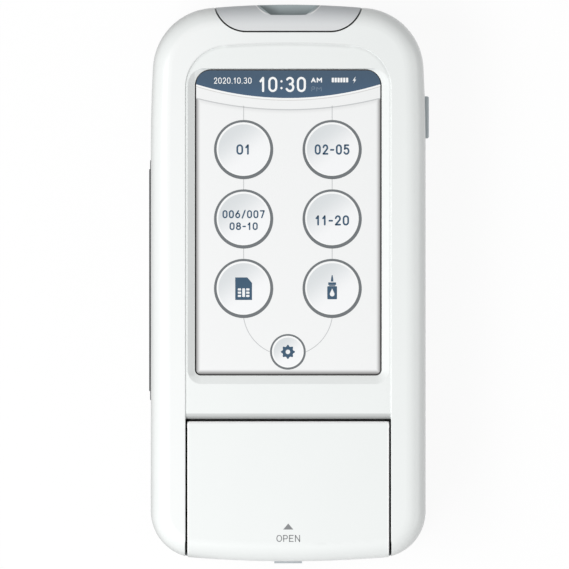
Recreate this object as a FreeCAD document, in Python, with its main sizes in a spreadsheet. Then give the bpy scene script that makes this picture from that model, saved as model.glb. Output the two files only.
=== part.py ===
import FreeCAD, Part
import Sketcher
import math
import operator
import os

from FreeCAD import Placement, Rotation, Vector

# Hand-held rapid test reader, lying on its back: +X is its right side, +Y its top end and
# +Z points out of the screen. The origin is on the surface it rests on, under its middle.
# All lengths are in millimetres.

DRIVING_SIZES = {
    # Whole case
    "body_width": 78.0,
    "body_length": 158.0,
    "front_depth": 18.0,
    "rear_depth": 14.0,
    "end_arc_top": 252.0,
    "end_arc_bottom": 340.0,
    "side_arc": 400.0,
    "shoulder_length": 39.8,
    "corner_top": 17.8,
    "corner_bottom": 13.2,
    "front_rounding": 5.5,
    "back_rounding": 6.0,
    "wall": 2.0,
    "roof_thickness": 2.8,
    "floor_thickness": 2.4,
    "sink_overlap": 0.2,
    # Clearances
    "seat_gap": 0.1,
    "moving_gap": 0.3,
    "screw_gap": 0.05,
    "pin_gap": 0.05,
    # Sunk front panel
    "rail_width": 9.85,
    "panel_step": 0.45,
    "panel_top_inset": 11.1,
    "panel_corner": 12.0,
    "panel_edge_roll": 1.5,
    "rail_edge_round": 0.25,
    # Screen
    "window_side_inset": 3.05,
    "window_top_inset": 7.65,
    "window_rise": 12.75,
    "window_corner_top": 4.3,
    "window_corner_bottom": 1.3,
    "glass_gap": 0.4,
    "glass_thickness": 1.1,
    "bevel_side": 2.1,
    "bevel_bottom": 2.4,
    "bevel_top": 0.2,
    "bevel_corner": 4.0,
    "bevel_lip": 0.05,
    "gasket_thickness": 0.3,
    "gasket_inner_lap": 0.8,
    "gasket_outer_lap": 2.1,
    "display_side": 2.3,
    "display_bottom": 5.4,
    "display_top": 5.4,
    "display_thickness": 2.8,
    "frame_thickness": 1.0,
    "frame_band": 6.5,
    "frame_ear_width": 7.0,
    "frame_ear_inset": 3.2,
    "display_boss_radius": 2.2,
    "display_boss_low": 79.0,
    "display_boss_pitch": 35.0,
    "small_screw_radius": 0.7,
    "small_screw_length": 2.4,
    "small_head_radius": 1.5,
    "small_head_height": 1.2,
    # Flexible ribbon from the display to the board
    "ribbon_width": 20.0,
    "ribbon_thickness": 0.3,
    "ribbon_lead": 0.4,
    "ribbon_bend": 2.2,
    "ribbon_tail": 5.6,
    "ribbon_seat_depth": 1.4,
    "ribbon_socket_depth": 4.0,
    # Test door and its hinge
    "door_length": 39.8,
    "door_side_gap": 0.55,
    "door_top_gap": 0.6,
    "door_thickness": 2.0,
    "door_drop": 0.1,
    "door_edge_round": 0.8,
    "door_side_round": 0.25,
    "door_floor_gap": 0.3,
    "hinge_setback": 1.3,
    "hinge_barrel": 1.25,
    "hinge_pin_radius": 0.6,
    "hinge_pin_reach": 1.5,
    "bay_wall": 2.0,
    "bay_wall_end": 4.0,
    # Door latch
    "latch_width": 7.9,
    "latch_proud": 0.8,
    "latch_height": 3.2,
    "latch_drop": 0.8,
    "latch_length": 7.8,
    "latch_flange": 1.5,
    "latch_flange_depth": 1.2,
    "latch_travel": 1.2,
    "latch_hook_width": 6.0,
    "latch_hook_depth": 1.3,
    "latch_flange_gap": 0.5,
    "latch_guide_length": 8.8,
    "latch_nose": 0.7,
    "latch_nose_height": 1.2,
    "latch_guide_width": 14.0,
    "catch_width": 7.2,
    "catch_depth": 0.7,
    "catch_height": 1.0,
    # Tray in the bay under the door
    "tray_top_drop": 9.0,
    "tray_plate": 2.0,
    "tray_wall": 1.5,
    "tray_end_gap": 0.8,
    "tray_corner": 2.0,
    "channel_width": 8.0,
    "channel_depth": 1.0,
    "channel_end_gap": 7.3,
    "channel_port_lap": 6.0,
    "tray_post_radius": 2.2,
    "tray_post_side": 6.85,
    "tray_post_low": 9.0,
    "tray_post_pitch": 24.0,
    "tray_screw_length": 6.0,
    "optics_x": 3.0,
    "optics_y": 16.2,
    "optics_window_length": 5.0,
    "optics_glass": 0.8,
    "optics_block_width": 16.0,
    "optics_block_length": 13.0,
    "optics_block_height": 6.3,
    "light_path_radius": 0.8,
    "sensor_radius": 1.5,
    "sensor_height": 3.0,
    "sensor_board_width": 36.0,
    "sensor_board_length": 24.0,
    "sensor_board_low": 13.0,
    "sensor_post_radius": 1.8,
    "sensor_post_x": 14.0,
    "port_width": 14.0,
    "port_length": 8.0,
    "port_height": 4.0,
    "port_slot_width": 6.4,
    "port_slot_height": 0.6,
    "contact_width": 0.6,
    "contact_pitch": 1.1,
    "contact_thickness": 0.3,
    "contact_length": 4.5,
    "contact_count": 5,
    "chip_socket_side": 7.85,
    "chip_socket_width": 12.0,
    "chip_socket_length": 15.0,
    "chip_socket_height": 3.4,
    "chip_socket_low": 13.0,
    "chip_slot_rise": 1.0,
    "chip_slot_depth": 12.0,
    "chip_slot_width": 9.0,
    "chip_slot_height": 1.4,
    # Cover over the sockets at the top end
    "cover_flat": 11.9,
    "cover_corner": 9.0,
    "cover_depth": 7.5,
    "cover_rise": 2.9,
    "cover_skin": 1.8,
    "cover_gap": 0.45,
    "scoop_width": 17.8,
    "scoop_foot_width": 10.0,
    "scoop_reach": 3.0,
    "scoop_depth": 4.5,
    "socket_wall": 1.6,
    "socket_block_width": 45.0,
    "socket_block_inset": 2.6,
    "socket_gap": 0.3,
    # Main board and what it carries
    "board_inset": 9.7,
    "board_thickness": 1.6,
    "board_level": 3.0,
    "board_top_gap": 2.1,
    "board_bottom_gap": 3.6,
    "board_post_radius": 2.5,
    "board_post_side": 4.3,
    "board_post_inset": 5.3,
    "board_post_foot": 3.0,
    "board_screw_length": 8.0,
    "usb_width": 9.0,
    "usb_height": 3.2,
    "usb_length": 7.9,
    "data_socket_x": 12.0,
    "data_socket_width": 6.0,
    "data_socket_height": 2.4,
    "shield_x": 6.0,
    "shield_low": 41.0,
    "shield_length": 28.0,
    "shield_width": 26.0,
    "shield_height": 2.6,
    "processor_side": 14.0,
    "processor_height": 1.2,
    "processor_low": 19.0,
    "switch_length": 6.5,
    "switch_height": 4.6,
    "switch_body": 4.6,
    "switch_tip": 1.0,
    "switch_tip_side": 2.0,
    "switch_tip_gap": 0.1,
    # Power button
    "button_length": 11.9,
    "button_height": 6.0,
    "button_proud": 0.95,
    "button_top_inset": 26.0,
    "button_level": 5.0,
    "button_gap": 0.25,
    "button_travel": 0.6,
    "button_flange": 0.8,
    "button_flange_depth": 0.9,
    "button_flange_gap": 0.4,
    "button_stem": 3.0,
    "button_stem_length": 2.4,
    "button_rounding": 0.5,
    # Grip strip on the left side
    "grip_low": 45.4,
    "grip_top_inset": 41.7,
    "grip_width": 9.0,
    "grip_level": 1.5,
    "grip_proud": 0.5,
    "grip_sink": 1.2,
    "grip_rounding": 0.45,
    # Battery and its cover
    "battery_width": 44.0,
    "battery_top_inset": 35.0,
    "battery_height": 9.2,
    "battery_low": 63.0,
    "battery_gap": 0.6,
    "battery_wall": 1.5,
    "battery_wall_height": 9.0,
    "battery_floor_gap": 0.3,
    "battery_contact_pitch": 5.0,
    "battery_contact_width": 1.2,
    "battery_contact_length": 3.0,
    "battery_contact_inset": 4.0,
    "battery_cover_lap": 1.8,
    "battery_cover_tail": 8.0,
    "battery_cover_thickness": 1.2,
    "battery_cover_corner": 2.5,
    "cover_screw_inset": 3.8,
    "cover_head_height": 0.7,
    "cover_boss_height": 5.0,
    "cover_boss_radius": 2.5,
    # Case screws, speaker and feet
    "case_boss_radius": 3.1,
    "case_boss_inset": 5.8,
    "case_boss_low": 19.0,
    "case_boss_middle": 46.0,
    "case_boss_top_inset": 19.0,
    "case_screw_radius": 0.95,
    "case_head_radius": 2.0,
    "case_head_height": 1.6,
    "case_head_sink": 3.0,
    "case_screw_length": 16.0,
    "speaker_radius": 7.0,
    "speaker_height": 3.2,
    "speaker_side": 25.0,
    "speaker_inset": 19.0,
    "grille_hole": 0.6,
    "grille_ring": 3.0,
    "foot_radius": 4.0,
    "foot_proud": 1.0,
    "foot_sink": 0.4,
    "foot_side_inset": 14.0,
    "foot_inset": 16.0,
    "foot_top_inset": 21.0,
}

doc = FreeCAD.newDocument("rapid_test_reader")
sheet = doc.addObject("Spreadsheet::Sheet", "Sizes")
for row, (alias, value) in enumerate(DRIVING_SIZES.items(), start=1):
    sheet.set(f"A{row}", alias)
    sheet.set(f"B{row}", str(value))
    sheet.setAlias(f"B{row}", alias)
doc.recompute()


class Size:
    """A number together with the sheet expression that gives it."""

    def __init__(self, number, text):
        self.number = float(number)
        self.text = text

    def __add__(self, other):
        return combined(self, "+", other)

    def __radd__(self, other):
        return combined(other, "+", self)

    def __sub__(self, other):
        return combined(self, "-", other)

    def __rsub__(self, other):
        return combined(other, "-", self)

    def __mul__(self, other):
        return combined(self, "*", other)

    def __rmul__(self, other):
        return combined(other, "*", self)

    def __truediv__(self, other):
        return combined(self, "/", other)

    def __neg__(self):
        return combined(0, "-", self)


OPERATIONS = {"+": operator.add, "-": operator.sub, "*": operator.mul, "/": operator.truediv}


def as_size(value):
    return value if isinstance(value, Size) else Size(value, repr(float(value)))


def combined(left, sign, right):
    left = as_size(left)
    right = as_size(right)
    number = OPERATIONS[sign](left.number, right.number)
    return Size(number, f"({left.text} {sign} {right.text})")


def sized(alias):
    return Size(sheet.get(alias), f"Sizes.{alias}")


class Sizes:
    """Every driving size by its name, as in sizes.body_width."""

    def __getattr__(self, alias):
        return sized(alias)


sizes = Sizes()


def bind(feature, path, value):
    """Ties one property of a feature to the sheet."""
    feature.setExpression(path, as_size(value).text)


# ---------------------------------------------------------------- sketches

ORIGIN = -1


def point_at(x, y):
    return Vector(as_size(x).number, as_size(y).number, 0)


def add_line(sketch, start, end):
    """A straight edge. Returns its index and the numbers of its first and last points."""
    index = sketch.addGeometry(Part.LineSegment(point_at(*start), point_at(*end)), False)
    return index, 1, 2


def add_arc(sketch, centre, radius, start, end):
    """An arc that runs anticlockwise between two points of its circle."""
    middle = point_at(*centre)
    circle = Part.Circle(middle, Vector(0, 0, 1), as_size(radius).number)
    first = point_at(*start) - middle
    last = point_at(*end) - middle
    arc = Part.ArcOfCircle(circle, math.atan2(first.y, first.x), math.atan2(last.y, last.x))
    index = sketch.addGeometry(arc, False)
    constrain(sketch, radius, "Radius", index)
    return index, 1, 2


def constrain(sketch, value, kind, *where):
    """One driving dimension of a sketch, tied to the sheet."""
    value = as_size(value)
    index = sketch.addConstraint(Sketcher.Constraint(kind, *where, value.number))
    sketch.setExpression(f"Constraints[{index}]", value.text)


def place_point(sketch, geometry, which, x=None, y=None):
    """Holds a point of a sketch at its distances from the origin."""
    if x is not None:
        constrain(sketch, x, "DistanceX", ORIGIN, 1, geometry, which)
    if y is not None:
        constrain(sketch, y, "DistanceY", ORIGIN, 1, geometry, which)


def join_up(sketch, chain, smooth):
    """Joins each edge's end to the next edge's start; smooth says which joints are tangent."""
    following = chain[1:] + chain[:1]
    for (edge, _, last), (after, first, _), tangent in zip(chain, following, smooth):
        kind = "Tangent" if tangent else "Coincident"
        sketch.addConstraint(Sketcher.Constraint(kind, edge, last, after, first))


def draw_rectangle(sketch, left, right, low, high):
    corners = [(left, low), (right, low), (right, high), (left, high)]
    chain = [add_line(sketch, corners[i], corners[(i + 1) % 4]) for i in range(4)]
    join_up(sketch, chain, [False] * 4)
    for index, direction in zip(range(4), ["Horizontal", "Vertical"] * 2):
        sketch.addConstraint(Sketcher.Constraint(direction, chain[index][0]))
    place_point(sketch, chain[0][0], 1, left, low)
    place_point(sketch, chain[2][0], 1, right, high)


def draw_rounded_rectangle(sketch, left, right, low, high, low_corner, high_corner=None):
    """A rectangle with one corner radius at its low side and one at its high side."""
    if high_corner is None:
        high_corner = low_corner
    bottom = add_line(sketch, (left + low_corner, low), (right - low_corner, low))
    low_right = add_arc(
        sketch, (right - low_corner, low + low_corner), low_corner,
        (right - low_corner, low), (right, low + low_corner))
    right_side = add_line(sketch, (right, low + low_corner), (right, high - high_corner))
    high_right = add_arc(
        sketch, (right - high_corner, high - high_corner), high_corner,
        (right, high - high_corner), (right - high_corner, high))
    top = add_line(sketch, (right - high_corner, high), (left + high_corner, high))
    high_left = add_arc(
        sketch, (left + high_corner, high - high_corner), high_corner,
        (left + high_corner, high), (left, high - high_corner))
    left_side = add_line(sketch, (left, high - high_corner), (left, low + low_corner))
    low_left = add_arc(
        sketch, (left + low_corner, low + low_corner), low_corner,
        (left, low + low_corner), (left + low_corner, low))
    chain = [bottom, low_right, right_side, high_right, top, high_left, left_side, low_left]
    join_up(sketch, chain, [True] * 8)
    sketch.addConstraint(Sketcher.Constraint("Horizontal", bottom[0]))
    place_point(sketch, bottom[0], 1, y=low)
    place_point(sketch, right_side[0], 1, x=right)
    place_point(sketch, top[0], 1, y=high)
    place_point(sketch, left_side[0], 1, x=left)
    sketch.addConstraint(Sketcher.Constraint("Vertical", right_side[0]))
    sketch.addConstraint(Sketcher.Constraint("Horizontal", top[0]))
    sketch.addConstraint(Sketcher.Constraint("Vertical", left_side[0]))


def draw_circle(sketch, x, y, radius):
    circle = Part.Circle(point_at(x, y), Vector(0, 0, 1), as_size(radius).number)
    index = sketch.addGeometry(circle, False)
    constrain(sketch, radius, "Radius", index)
    place_point(sketch, index, 3, x, y)


# ---------------------------------------------------------------- pieces


class Piece:
    """One separate piece: a body that sketches on its own origin planes build up."""

    def __init__(self, name):
        self.name = name
        self.steps = 0
        self.body = doc.addObject("PartDesign::Body", name)
        self.body.Label = name

    def sketch(self, plane, level, draw, *values):
        """A sketch on one origin plane, moved along that plane's normal to its level."""
        self.steps += 1
        sketch = self.body.newObject("Sketcher::SketchObject", f"{self.name}_sketch{self.steps}")
        support = next(f for f in self.body.Origin.OriginFeatures if f.Role == plane)
        sketch.AttachmentSupport = (support, [""])
        sketch.MapMode = "FlatFace"
        bind(sketch, "AttachmentOffset.Base.z", level)
        draw(sketch, *values)
        sketch.Visibility = False
        return sketch

    def feature(self, kind):
        self.steps += 1
        return self.body.newObject(f"PartDesign::{kind}", f"{self.name}_{kind}{self.steps}")

    def pad(self, sketch, length):
        """Adds material from the sketch along its plane's normal."""
        pad = self.feature("Pad")
        pad.Profile = sketch
        bind(pad, "Length", length)
        doc.recompute()
        return pad

    def pocket(self, sketch, length):
        """Removes material from the sketch along its plane's normal."""
        before = self.body.Shape.Volume
        pocket = self.feature("Pocket")
        pocket.Profile = sketch
        pocket.Reversed = True
        bind(pocket, "Length", length)
        doc.recompute()
        if not self.body.Shape.Volume < before:
            raise ValueError(f"{pocket.Name} removes nothing")
        return pocket

    def round_edges(self, radius, chosen):
        """Rounds the edges of the piece that the given test picks out."""
        base = self.body.Tip
        names = [f"Edge{i}" for i, edge in enumerate(base.Shape.Edges, start=1) if chosen(edge)]
        if not names:
            raise ValueError(f"{self.name} has no such edge to round")
        fillet = self.feature("Fillet")
        fillet.Base = (base, names)
        bind(fillet, "Radius", radius)
        doc.recompute()
        return fillet

    def block(self, left, right, low, high, bottom, top):
        """Adds a box between six planes."""
        return self.pad(self.sketch("XY_Plane", bottom, draw_rectangle, left, right, low, high),
                        top - bottom)

    def cut_block(self, left, right, low, high, bottom, top):
        """Removes a box between six planes."""
        return self.pocket(self.sketch("XY_Plane", bottom, draw_rectangle, left, right, low, high),
                           top - bottom)

    def post(self, places, radius, bottom, top):
        """Adds an upright cylinder at each place."""
        return self.pad(self.sketch("XY_Plane", bottom, draw_circles, places, radius), top - bottom)

    def bore(self, places, radius, bottom, top):
        """Removes an upright cylinder at each place."""
        return self.pocket(self.sketch("XY_Plane", bottom, draw_circles, places, radius),
                           top - bottom)


def draw_circles(sketch, places, radius):
    for x, y in places:
        draw_circle(sketch, x, y, radius)


def level_edge(z, tolerance=1e-4):
    """A test that picks the edges that lie whole at one height."""
    height = as_size(z).number

    def chosen(edge):
        box = edge.BoundBox
        return abs(box.ZMin - height) < tolerance and abs(box.ZMax - height) < tolerance

    return chosen


def middle_of(edge):
    return edge.valueAt((edge.FirstParameter + edge.LastParameter) / 2)


def near_edge(x=None, y=None, z=None, tolerance=0.02):
    """A test that picks edges by the coordinates of their middle."""
    wanted = [(i, as_size(v).number) for i, v in enumerate((x, y, z)) if v is not None]

    def chosen(edge):
        middle = middle_of(edge)
        return all(abs(middle[i] - value) < tolerance for i, value in wanted)

    return chosen


# ---------------------------------------------------------------- levels and places

half_width = sizes.body_width / 2
top_y = sizes.body_length / 2
bottom_y = -top_y
back_z = sizes.foot_proud
split_z = back_z + sizes.rear_depth
front_z = split_z + sizes.front_depth
floor_z = back_z + sizes.floor_thickness
roof_z = front_z - sizes.roof_thickness
panel_z = front_z - sizes.panel_step

panel_half = half_width - sizes.rail_width
panel_top = top_y - sizes.panel_top_inset
door_half = panel_half - sizes.door_side_gap
door_top = bottom_y + sizes.door_length
bay_top = door_top + sizes.door_top_gap

window_half = panel_half - sizes.window_side_inset
window_low = bay_top + sizes.window_rise
window_high = panel_top - sizes.window_top_inset
glass_top = roof_z + sizes.glass_thickness

display_half = window_half + sizes.display_side
display_low = window_low - sizes.display_bottom
display_high = window_high + sizes.display_top
gasket_bottom = roof_z - sizes.gasket_thickness
display_bottom = gasket_bottom - sizes.display_thickness
frame_bottom = display_bottom - sizes.frame_thickness

board_half = half_width - sizes.board_inset
board_bottom = split_z + sizes.board_level
board_top = board_bottom + sizes.board_thickness
socket_wall_face = top_y - sizes.cover_depth - sizes.cover_gap
socket_wall_back = socket_wall_face - sizes.socket_wall
board_high = socket_wall_back - sizes.board_top_gap
board_low = bay_top + sizes.bay_wall + sizes.board_bottom_gap


def circle_crossing(first, first_radius, second, second_radius):
    """The crossing of two circles that lies to the right of the line between their centres."""
    line = second - first
    distance = line.Length
    along = (distance ** 2 + first_radius ** 2 - second_radius ** 2) / (2 * distance)
    across = math.sqrt(first_radius ** 2 - along ** 2)
    unit = line.normalize()
    return first + unit * along + Vector(unit.y, -unit.x, 0) * across


def draw_case_outline(sketch, inset):
    """The case seen from the front: straight sides, shoulders, and gently arched ends."""
    side_radius = sizes.side_arc - inset
    top_radius = sizes.end_arc_top - inset
    bottom_radius = sizes.end_arc_bottom - inset
    corner_radius = sizes.corner_top - inset
    heel_radius = sizes.corner_bottom - inset
    side_centre = point_at(half_width - sizes.side_arc, top_y - sizes.shoulder_length)
    top_centre = point_at(0, top_y - sizes.end_arc_top)
    bottom_centre = point_at(0, bottom_y + sizes.end_arc_bottom)
    # The two centres of each corner's neighbours fix the corner's own centre.
    corner = circle_crossing(
        top_centre, top_radius.number - corner_radius.number,
        side_centre, side_radius.number - corner_radius.number)
    if corner.x < 0:
        corner = circle_crossing(
            side_centre, side_radius.number - corner_radius.number,
            top_centre, top_radius.number - corner_radius.number)
    heel_x = (half_width - sizes.corner_bottom).number
    heel_rise = math.sqrt((bottom_radius.number - heel_radius.number) ** 2 - heel_x ** 2)
    heel = Vector(heel_x, bottom_centre.y - heel_rise, 0)
    side = (half_width - inset).number
    shoulder = side_centre + Vector(side_radius.number, 0, 0)
    shoulder_end = side_centre + (corner - side_centre).normalize() * side_radius.number
    crown = top_centre + (corner - top_centre).normalize() * top_radius.number
    heel_end = bottom_centre + (heel - bottom_centre).normalize() * bottom_radius.number

    def mirror(point):
        return Vector(-point.x, point.y, 0)

    def arc(centre, radius, start, end):
        return add_arc(sketch, (centre.x, centre.y), radius, (start.x, start.y), (end.x, end.y))

    right = add_line(sketch, (side, heel.y), (side, shoulder.y))
    right_side = arc(side_centre, side_radius, shoulder, shoulder_end)
    right_corner = arc(corner, corner_radius, shoulder_end, crown)
    top = arc(top_centre, top_radius, crown, mirror(crown))
    left_corner = arc(mirror(corner), corner_radius, mirror(crown), mirror(shoulder_end))
    left_side = arc(mirror(side_centre), side_radius, mirror(shoulder_end), mirror(shoulder))
    left = add_line(sketch, (-side, shoulder.y), (-side, heel.y))
    left_heel = arc(mirror(heel), heel_radius, Vector(-side, heel.y, 0), mirror(heel_end))
    bottom = arc(bottom_centre, bottom_radius, mirror(heel_end), heel_end)
    right_heel = arc(heel, heel_radius, heel_end, Vector(side, heel.y, 0))
    chain = [right, right_side, right_corner, top, left_corner,
             left_side, left, left_heel, bottom, right_heel]
    join_up(sketch, chain, [True] * 10)
    sketch.addConstraint(Sketcher.Constraint("Vertical", right[0]))
    sketch.addConstraint(Sketcher.Constraint("Vertical", left[0]))
    side_y = top_y - sizes.shoulder_length
    place_point(sketch, right_side[0], 3, half_width - sizes.side_arc, side_y)
    place_point(sketch, left_side[0], 3, sizes.side_arc - half_width, side_y)
    place_point(sketch, top[0], 3, 0, top_y - sizes.end_arc_top)
    place_point(sketch, bottom[0], 3, 0, bottom_y + sizes.end_arc_bottom)


def draw_panel(sketch, low):
    """The sunk panel: straight sides, round shoulders and a gently arched top."""
    top_centre = point_at(0, panel_top - sizes.end_arc_top)
    corner_x = (panel_half - sizes.panel_corner).number
    corner_rise = math.sqrt((sizes.end_arc_top - sizes.panel_corner).number ** 2 - corner_x ** 2)
    corner = Vector(corner_x, top_centre.y + corner_rise, 0)
    crown = top_centre + (corner - top_centre).normalize() * sizes.end_arc_top.number
    side = panel_half.number
    base = as_size(low).number
    bottom = add_line(sketch, (-side, base), (side, base))
    right = add_line(sketch, (side, base), (side, corner.y))
    right_corner = add_arc(sketch, (corner.x, corner.y), sizes.panel_corner,
                           (side, corner.y), (crown.x, crown.y))
    top = add_arc(sketch, (0, top_centre.y), sizes.end_arc_top,
                  (crown.x, crown.y), (-crown.x, crown.y))
    left_corner = add_arc(sketch, (-corner.x, corner.y), sizes.panel_corner,
                          (-crown.x, crown.y), (-side, corner.y))
    left = add_line(sketch, (-side, corner.y), (-side, base))
    chain = [bottom, right, right_corner, top, left_corner, left]
    join_up(sketch, chain, [False, True, True, True, True, False])
    sketch.addConstraint(Sketcher.Constraint("Horizontal", bottom[0]))
    sketch.addConstraint(Sketcher.Constraint("Vertical", right[0]))
    sketch.addConstraint(Sketcher.Constraint("Vertical", left[0]))
    place_point(sketch, bottom[0], 1, -panel_half, low)
    place_point(sketch, bottom[0], 2, panel_half)
    place_point(sketch, top[0], 3, 0, panel_top - sizes.end_arc_top)


def draw_socket_cover(sketch, grow, reach):
    """The cover at the top end: flat below, round at the sides, and the case's arch above.

    grow moves its lower side and its round sides outwards, and reach moves its arch.
    """
    low = top_y - sizes.cover_depth - grow
    centre_y = top_y - sizes.cover_depth + sizes.cover_corner
    side_radius = sizes.cover_corner + grow
    top_radius = sizes.end_arc_top + reach
    top_centre = point_at(0, top_y - sizes.end_arc_top)
    centre = point_at(sizes.cover_flat, centre_y)
    meeting = circle_crossing(top_centre, top_radius.number, centre, side_radius.number)
    flat = sizes.cover_flat
    bottom = add_line(sketch, (-flat, low), (flat, low))
    right = add_arc(sketch, (flat, centre_y), side_radius, (flat, low), (meeting.x, meeting.y))
    top = add_arc(sketch, (0, top_centre.y), top_radius,
                  (meeting.x, meeting.y), (-meeting.x, meeting.y))
    left = add_arc(sketch, (-flat, centre_y), side_radius,
                   (-meeting.x, meeting.y), (-flat, low))
    join_up(sketch, [bottom, right, top, left], [True, False, False, True])
    sketch.addConstraint(Sketcher.Constraint("Horizontal", bottom[0]))
    place_point(sketch, bottom[0], 1, y=low)
    place_point(sketch, right[0], 3, x=flat)
    place_point(sketch, left[0], 3, x=-flat)
    place_point(sketch, top[0], 3, 0, top_y - sizes.end_arc_top)


def draw_door(sketch, half, high, inset):
    """The door seen from the front: straight sides, and the case's arch at its free end."""
    radius = sizes.end_arc_bottom - inset
    centre_y = bottom_y + sizes.end_arc_bottom
    side = as_size(half).number
    foot = centre_y.number - math.sqrt(radius.number ** 2 - side ** 2)
    bottom = add_arc(sketch, (0, centre_y), radius, (-side, foot), (side, foot))
    right = add_line(sketch, (side, foot), (side, high))
    top = add_line(sketch, (side, high), (-side, high))
    left = add_line(sketch, (-side, high), (-side, foot))
    join_up(sketch, [bottom, right, top, left], [False] * 4)
    sketch.addConstraint(Sketcher.Constraint("Vertical", right[0]))
    sketch.addConstraint(Sketcher.Constraint("Horizontal", top[0]))
    sketch.addConstraint(Sketcher.Constraint("Vertical", left[0]))
    place_point(sketch, bottom[0], 3, 0, centre_y)
    place_point(sketch, top[0], 1, half, high)
    place_point(sketch, left[0], 1, x=-half)


# Screw and post places, each a list of (x, y)
boss_x = half_width - sizes.case_boss_inset
case_screw_rows = [bottom_y + sizes.case_boss_low, bottom_y + sizes.case_boss_middle,
                   top_y - sizes.case_boss_top_inset]
case_screw_places = [(x, row) for row in case_screw_rows for x in (-boss_x, boss_x)]
display_row = bottom_y + sizes.display_boss_low
display_rows = [display_row, display_row + sizes.display_boss_pitch]
display_screw_places = [(x, row) for row in display_rows for x in (-boss_x, boss_x)]
board_rows = [board_low + sizes.board_post_foot, board_high - sizes.board_post_inset]
board_post_x = board_half - sizes.board_post_side
board_places = [(x, row) for row in board_rows for x in (-board_post_x, board_post_x)]
tray_row = bottom_y + sizes.tray_post_low
tray_rows = [tray_row, tray_row + sizes.tray_post_pitch]
tray_half = panel_half - sizes.moving_gap
tray_post_x = tray_half - sizes.tray_post_side
tray_places = [(x, row) for row in tray_rows for x in (-tray_post_x, tray_post_x)]
foot_rows = [bottom_y + sizes.foot_inset, top_y - sizes.foot_top_inset]
foot_x = half_width - sizes.foot_side_inset
foot_places = [(x, row) for row in foot_rows for x in (-foot_x, foot_x)]

case_head_bottom = back_z + sizes.case_head_sink
case_head_top = case_head_bottom + sizes.case_head_height
case_screw_top = case_head_top + sizes.case_screw_length
screw_bore = sizes.case_screw_radius + sizes.screw_gap
small_bore = sizes.small_screw_radius + sizes.screw_gap

hinge_y = door_top - sizes.hinge_setback
door_face = front_z - sizes.door_drop
hinge_z = door_face - sizes.hinge_setback
pin_bore = sizes.hinge_pin_radius + sizes.pin_gap

cover_bottom = split_z + sizes.cover_rise
notch_floor = cover_bottom - sizes.moving_gap

button_high_y = top_y - sizes.button_top_inset
button_low_y = button_high_y - sizes.button_length
button_low_z = split_z + sizes.button_level
button_high_z = button_low_z + sizes.button_height
button_y = (button_low_y + button_high_y) / 2
button_z = (button_low_z + button_high_z) / 2

grip_low_y = bottom_y + sizes.grip_low
grip_high_y = top_y - sizes.grip_top_inset
grip_low_z = split_z + sizes.grip_level
grip_high_z = grip_low_z + sizes.grip_width

latch_top = split_z - sizes.latch_drop
latch_bottom = latch_top - sizes.latch_height
latch_half = sizes.latch_width / 2

skirt_bottom = split_z + sizes.door_floor_gap
catch_face = bottom_y + sizes.door_thickness + sizes.catch_depth
catch_top = skirt_bottom + sizes.catch_height

tray_top = front_z - sizes.tray_top_drop
tray_under = tray_top - sizes.tray_plate
tray_low = bottom_y + sizes.door_thickness + sizes.tray_end_gap
tray_high = bay_top - sizes.moving_gap
channel_floor = tray_top - sizes.channel_depth
channel_high = tray_high - sizes.channel_end_gap
optics_y = tray_low + sizes.optics_y
sensor_board_top = tray_under - sizes.optics_block_height
sensor_board_bottom = sensor_board_top - sizes.board_thickness
sensor_board_low = bottom_y + sizes.sensor_board_low
sensor_board_high = sensor_board_low + sizes.sensor_board_length
sensor_row = (sensor_board_low + sensor_board_high) / 2
sensor_places = [(x, sensor_row) for x in (-sizes.sensor_post_x, sizes.sensor_post_x)]
optics_places = [(x, optics_y) for x in (-sizes.optics_x, sizes.optics_x)]

battery_half = sizes.battery_width / 2
battery_low = bottom_y + sizes.battery_low
battery_high = top_y - sizes.battery_top_inset
battery_bottom = back_z + sizes.battery_cover_thickness + sizes.battery_floor_gap
battery_top = battery_bottom + sizes.battery_height
hatch_half = battery_half + sizes.battery_gap
hatch_low = battery_low - sizes.battery_gap
hatch_high = battery_high + sizes.battery_gap
lid_half = hatch_half + sizes.battery_cover_lap
lid_low = hatch_low - sizes.battery_cover_lap
lid_high = hatch_high + sizes.battery_cover_tail
lid_screw = [(0, lid_high - sizes.cover_screw_inset)]

speaker_place = [(sizes.speaker_side - half_width, top_y - sizes.speaker_inset)]


# ---------------------------------------------------------------- case


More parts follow.
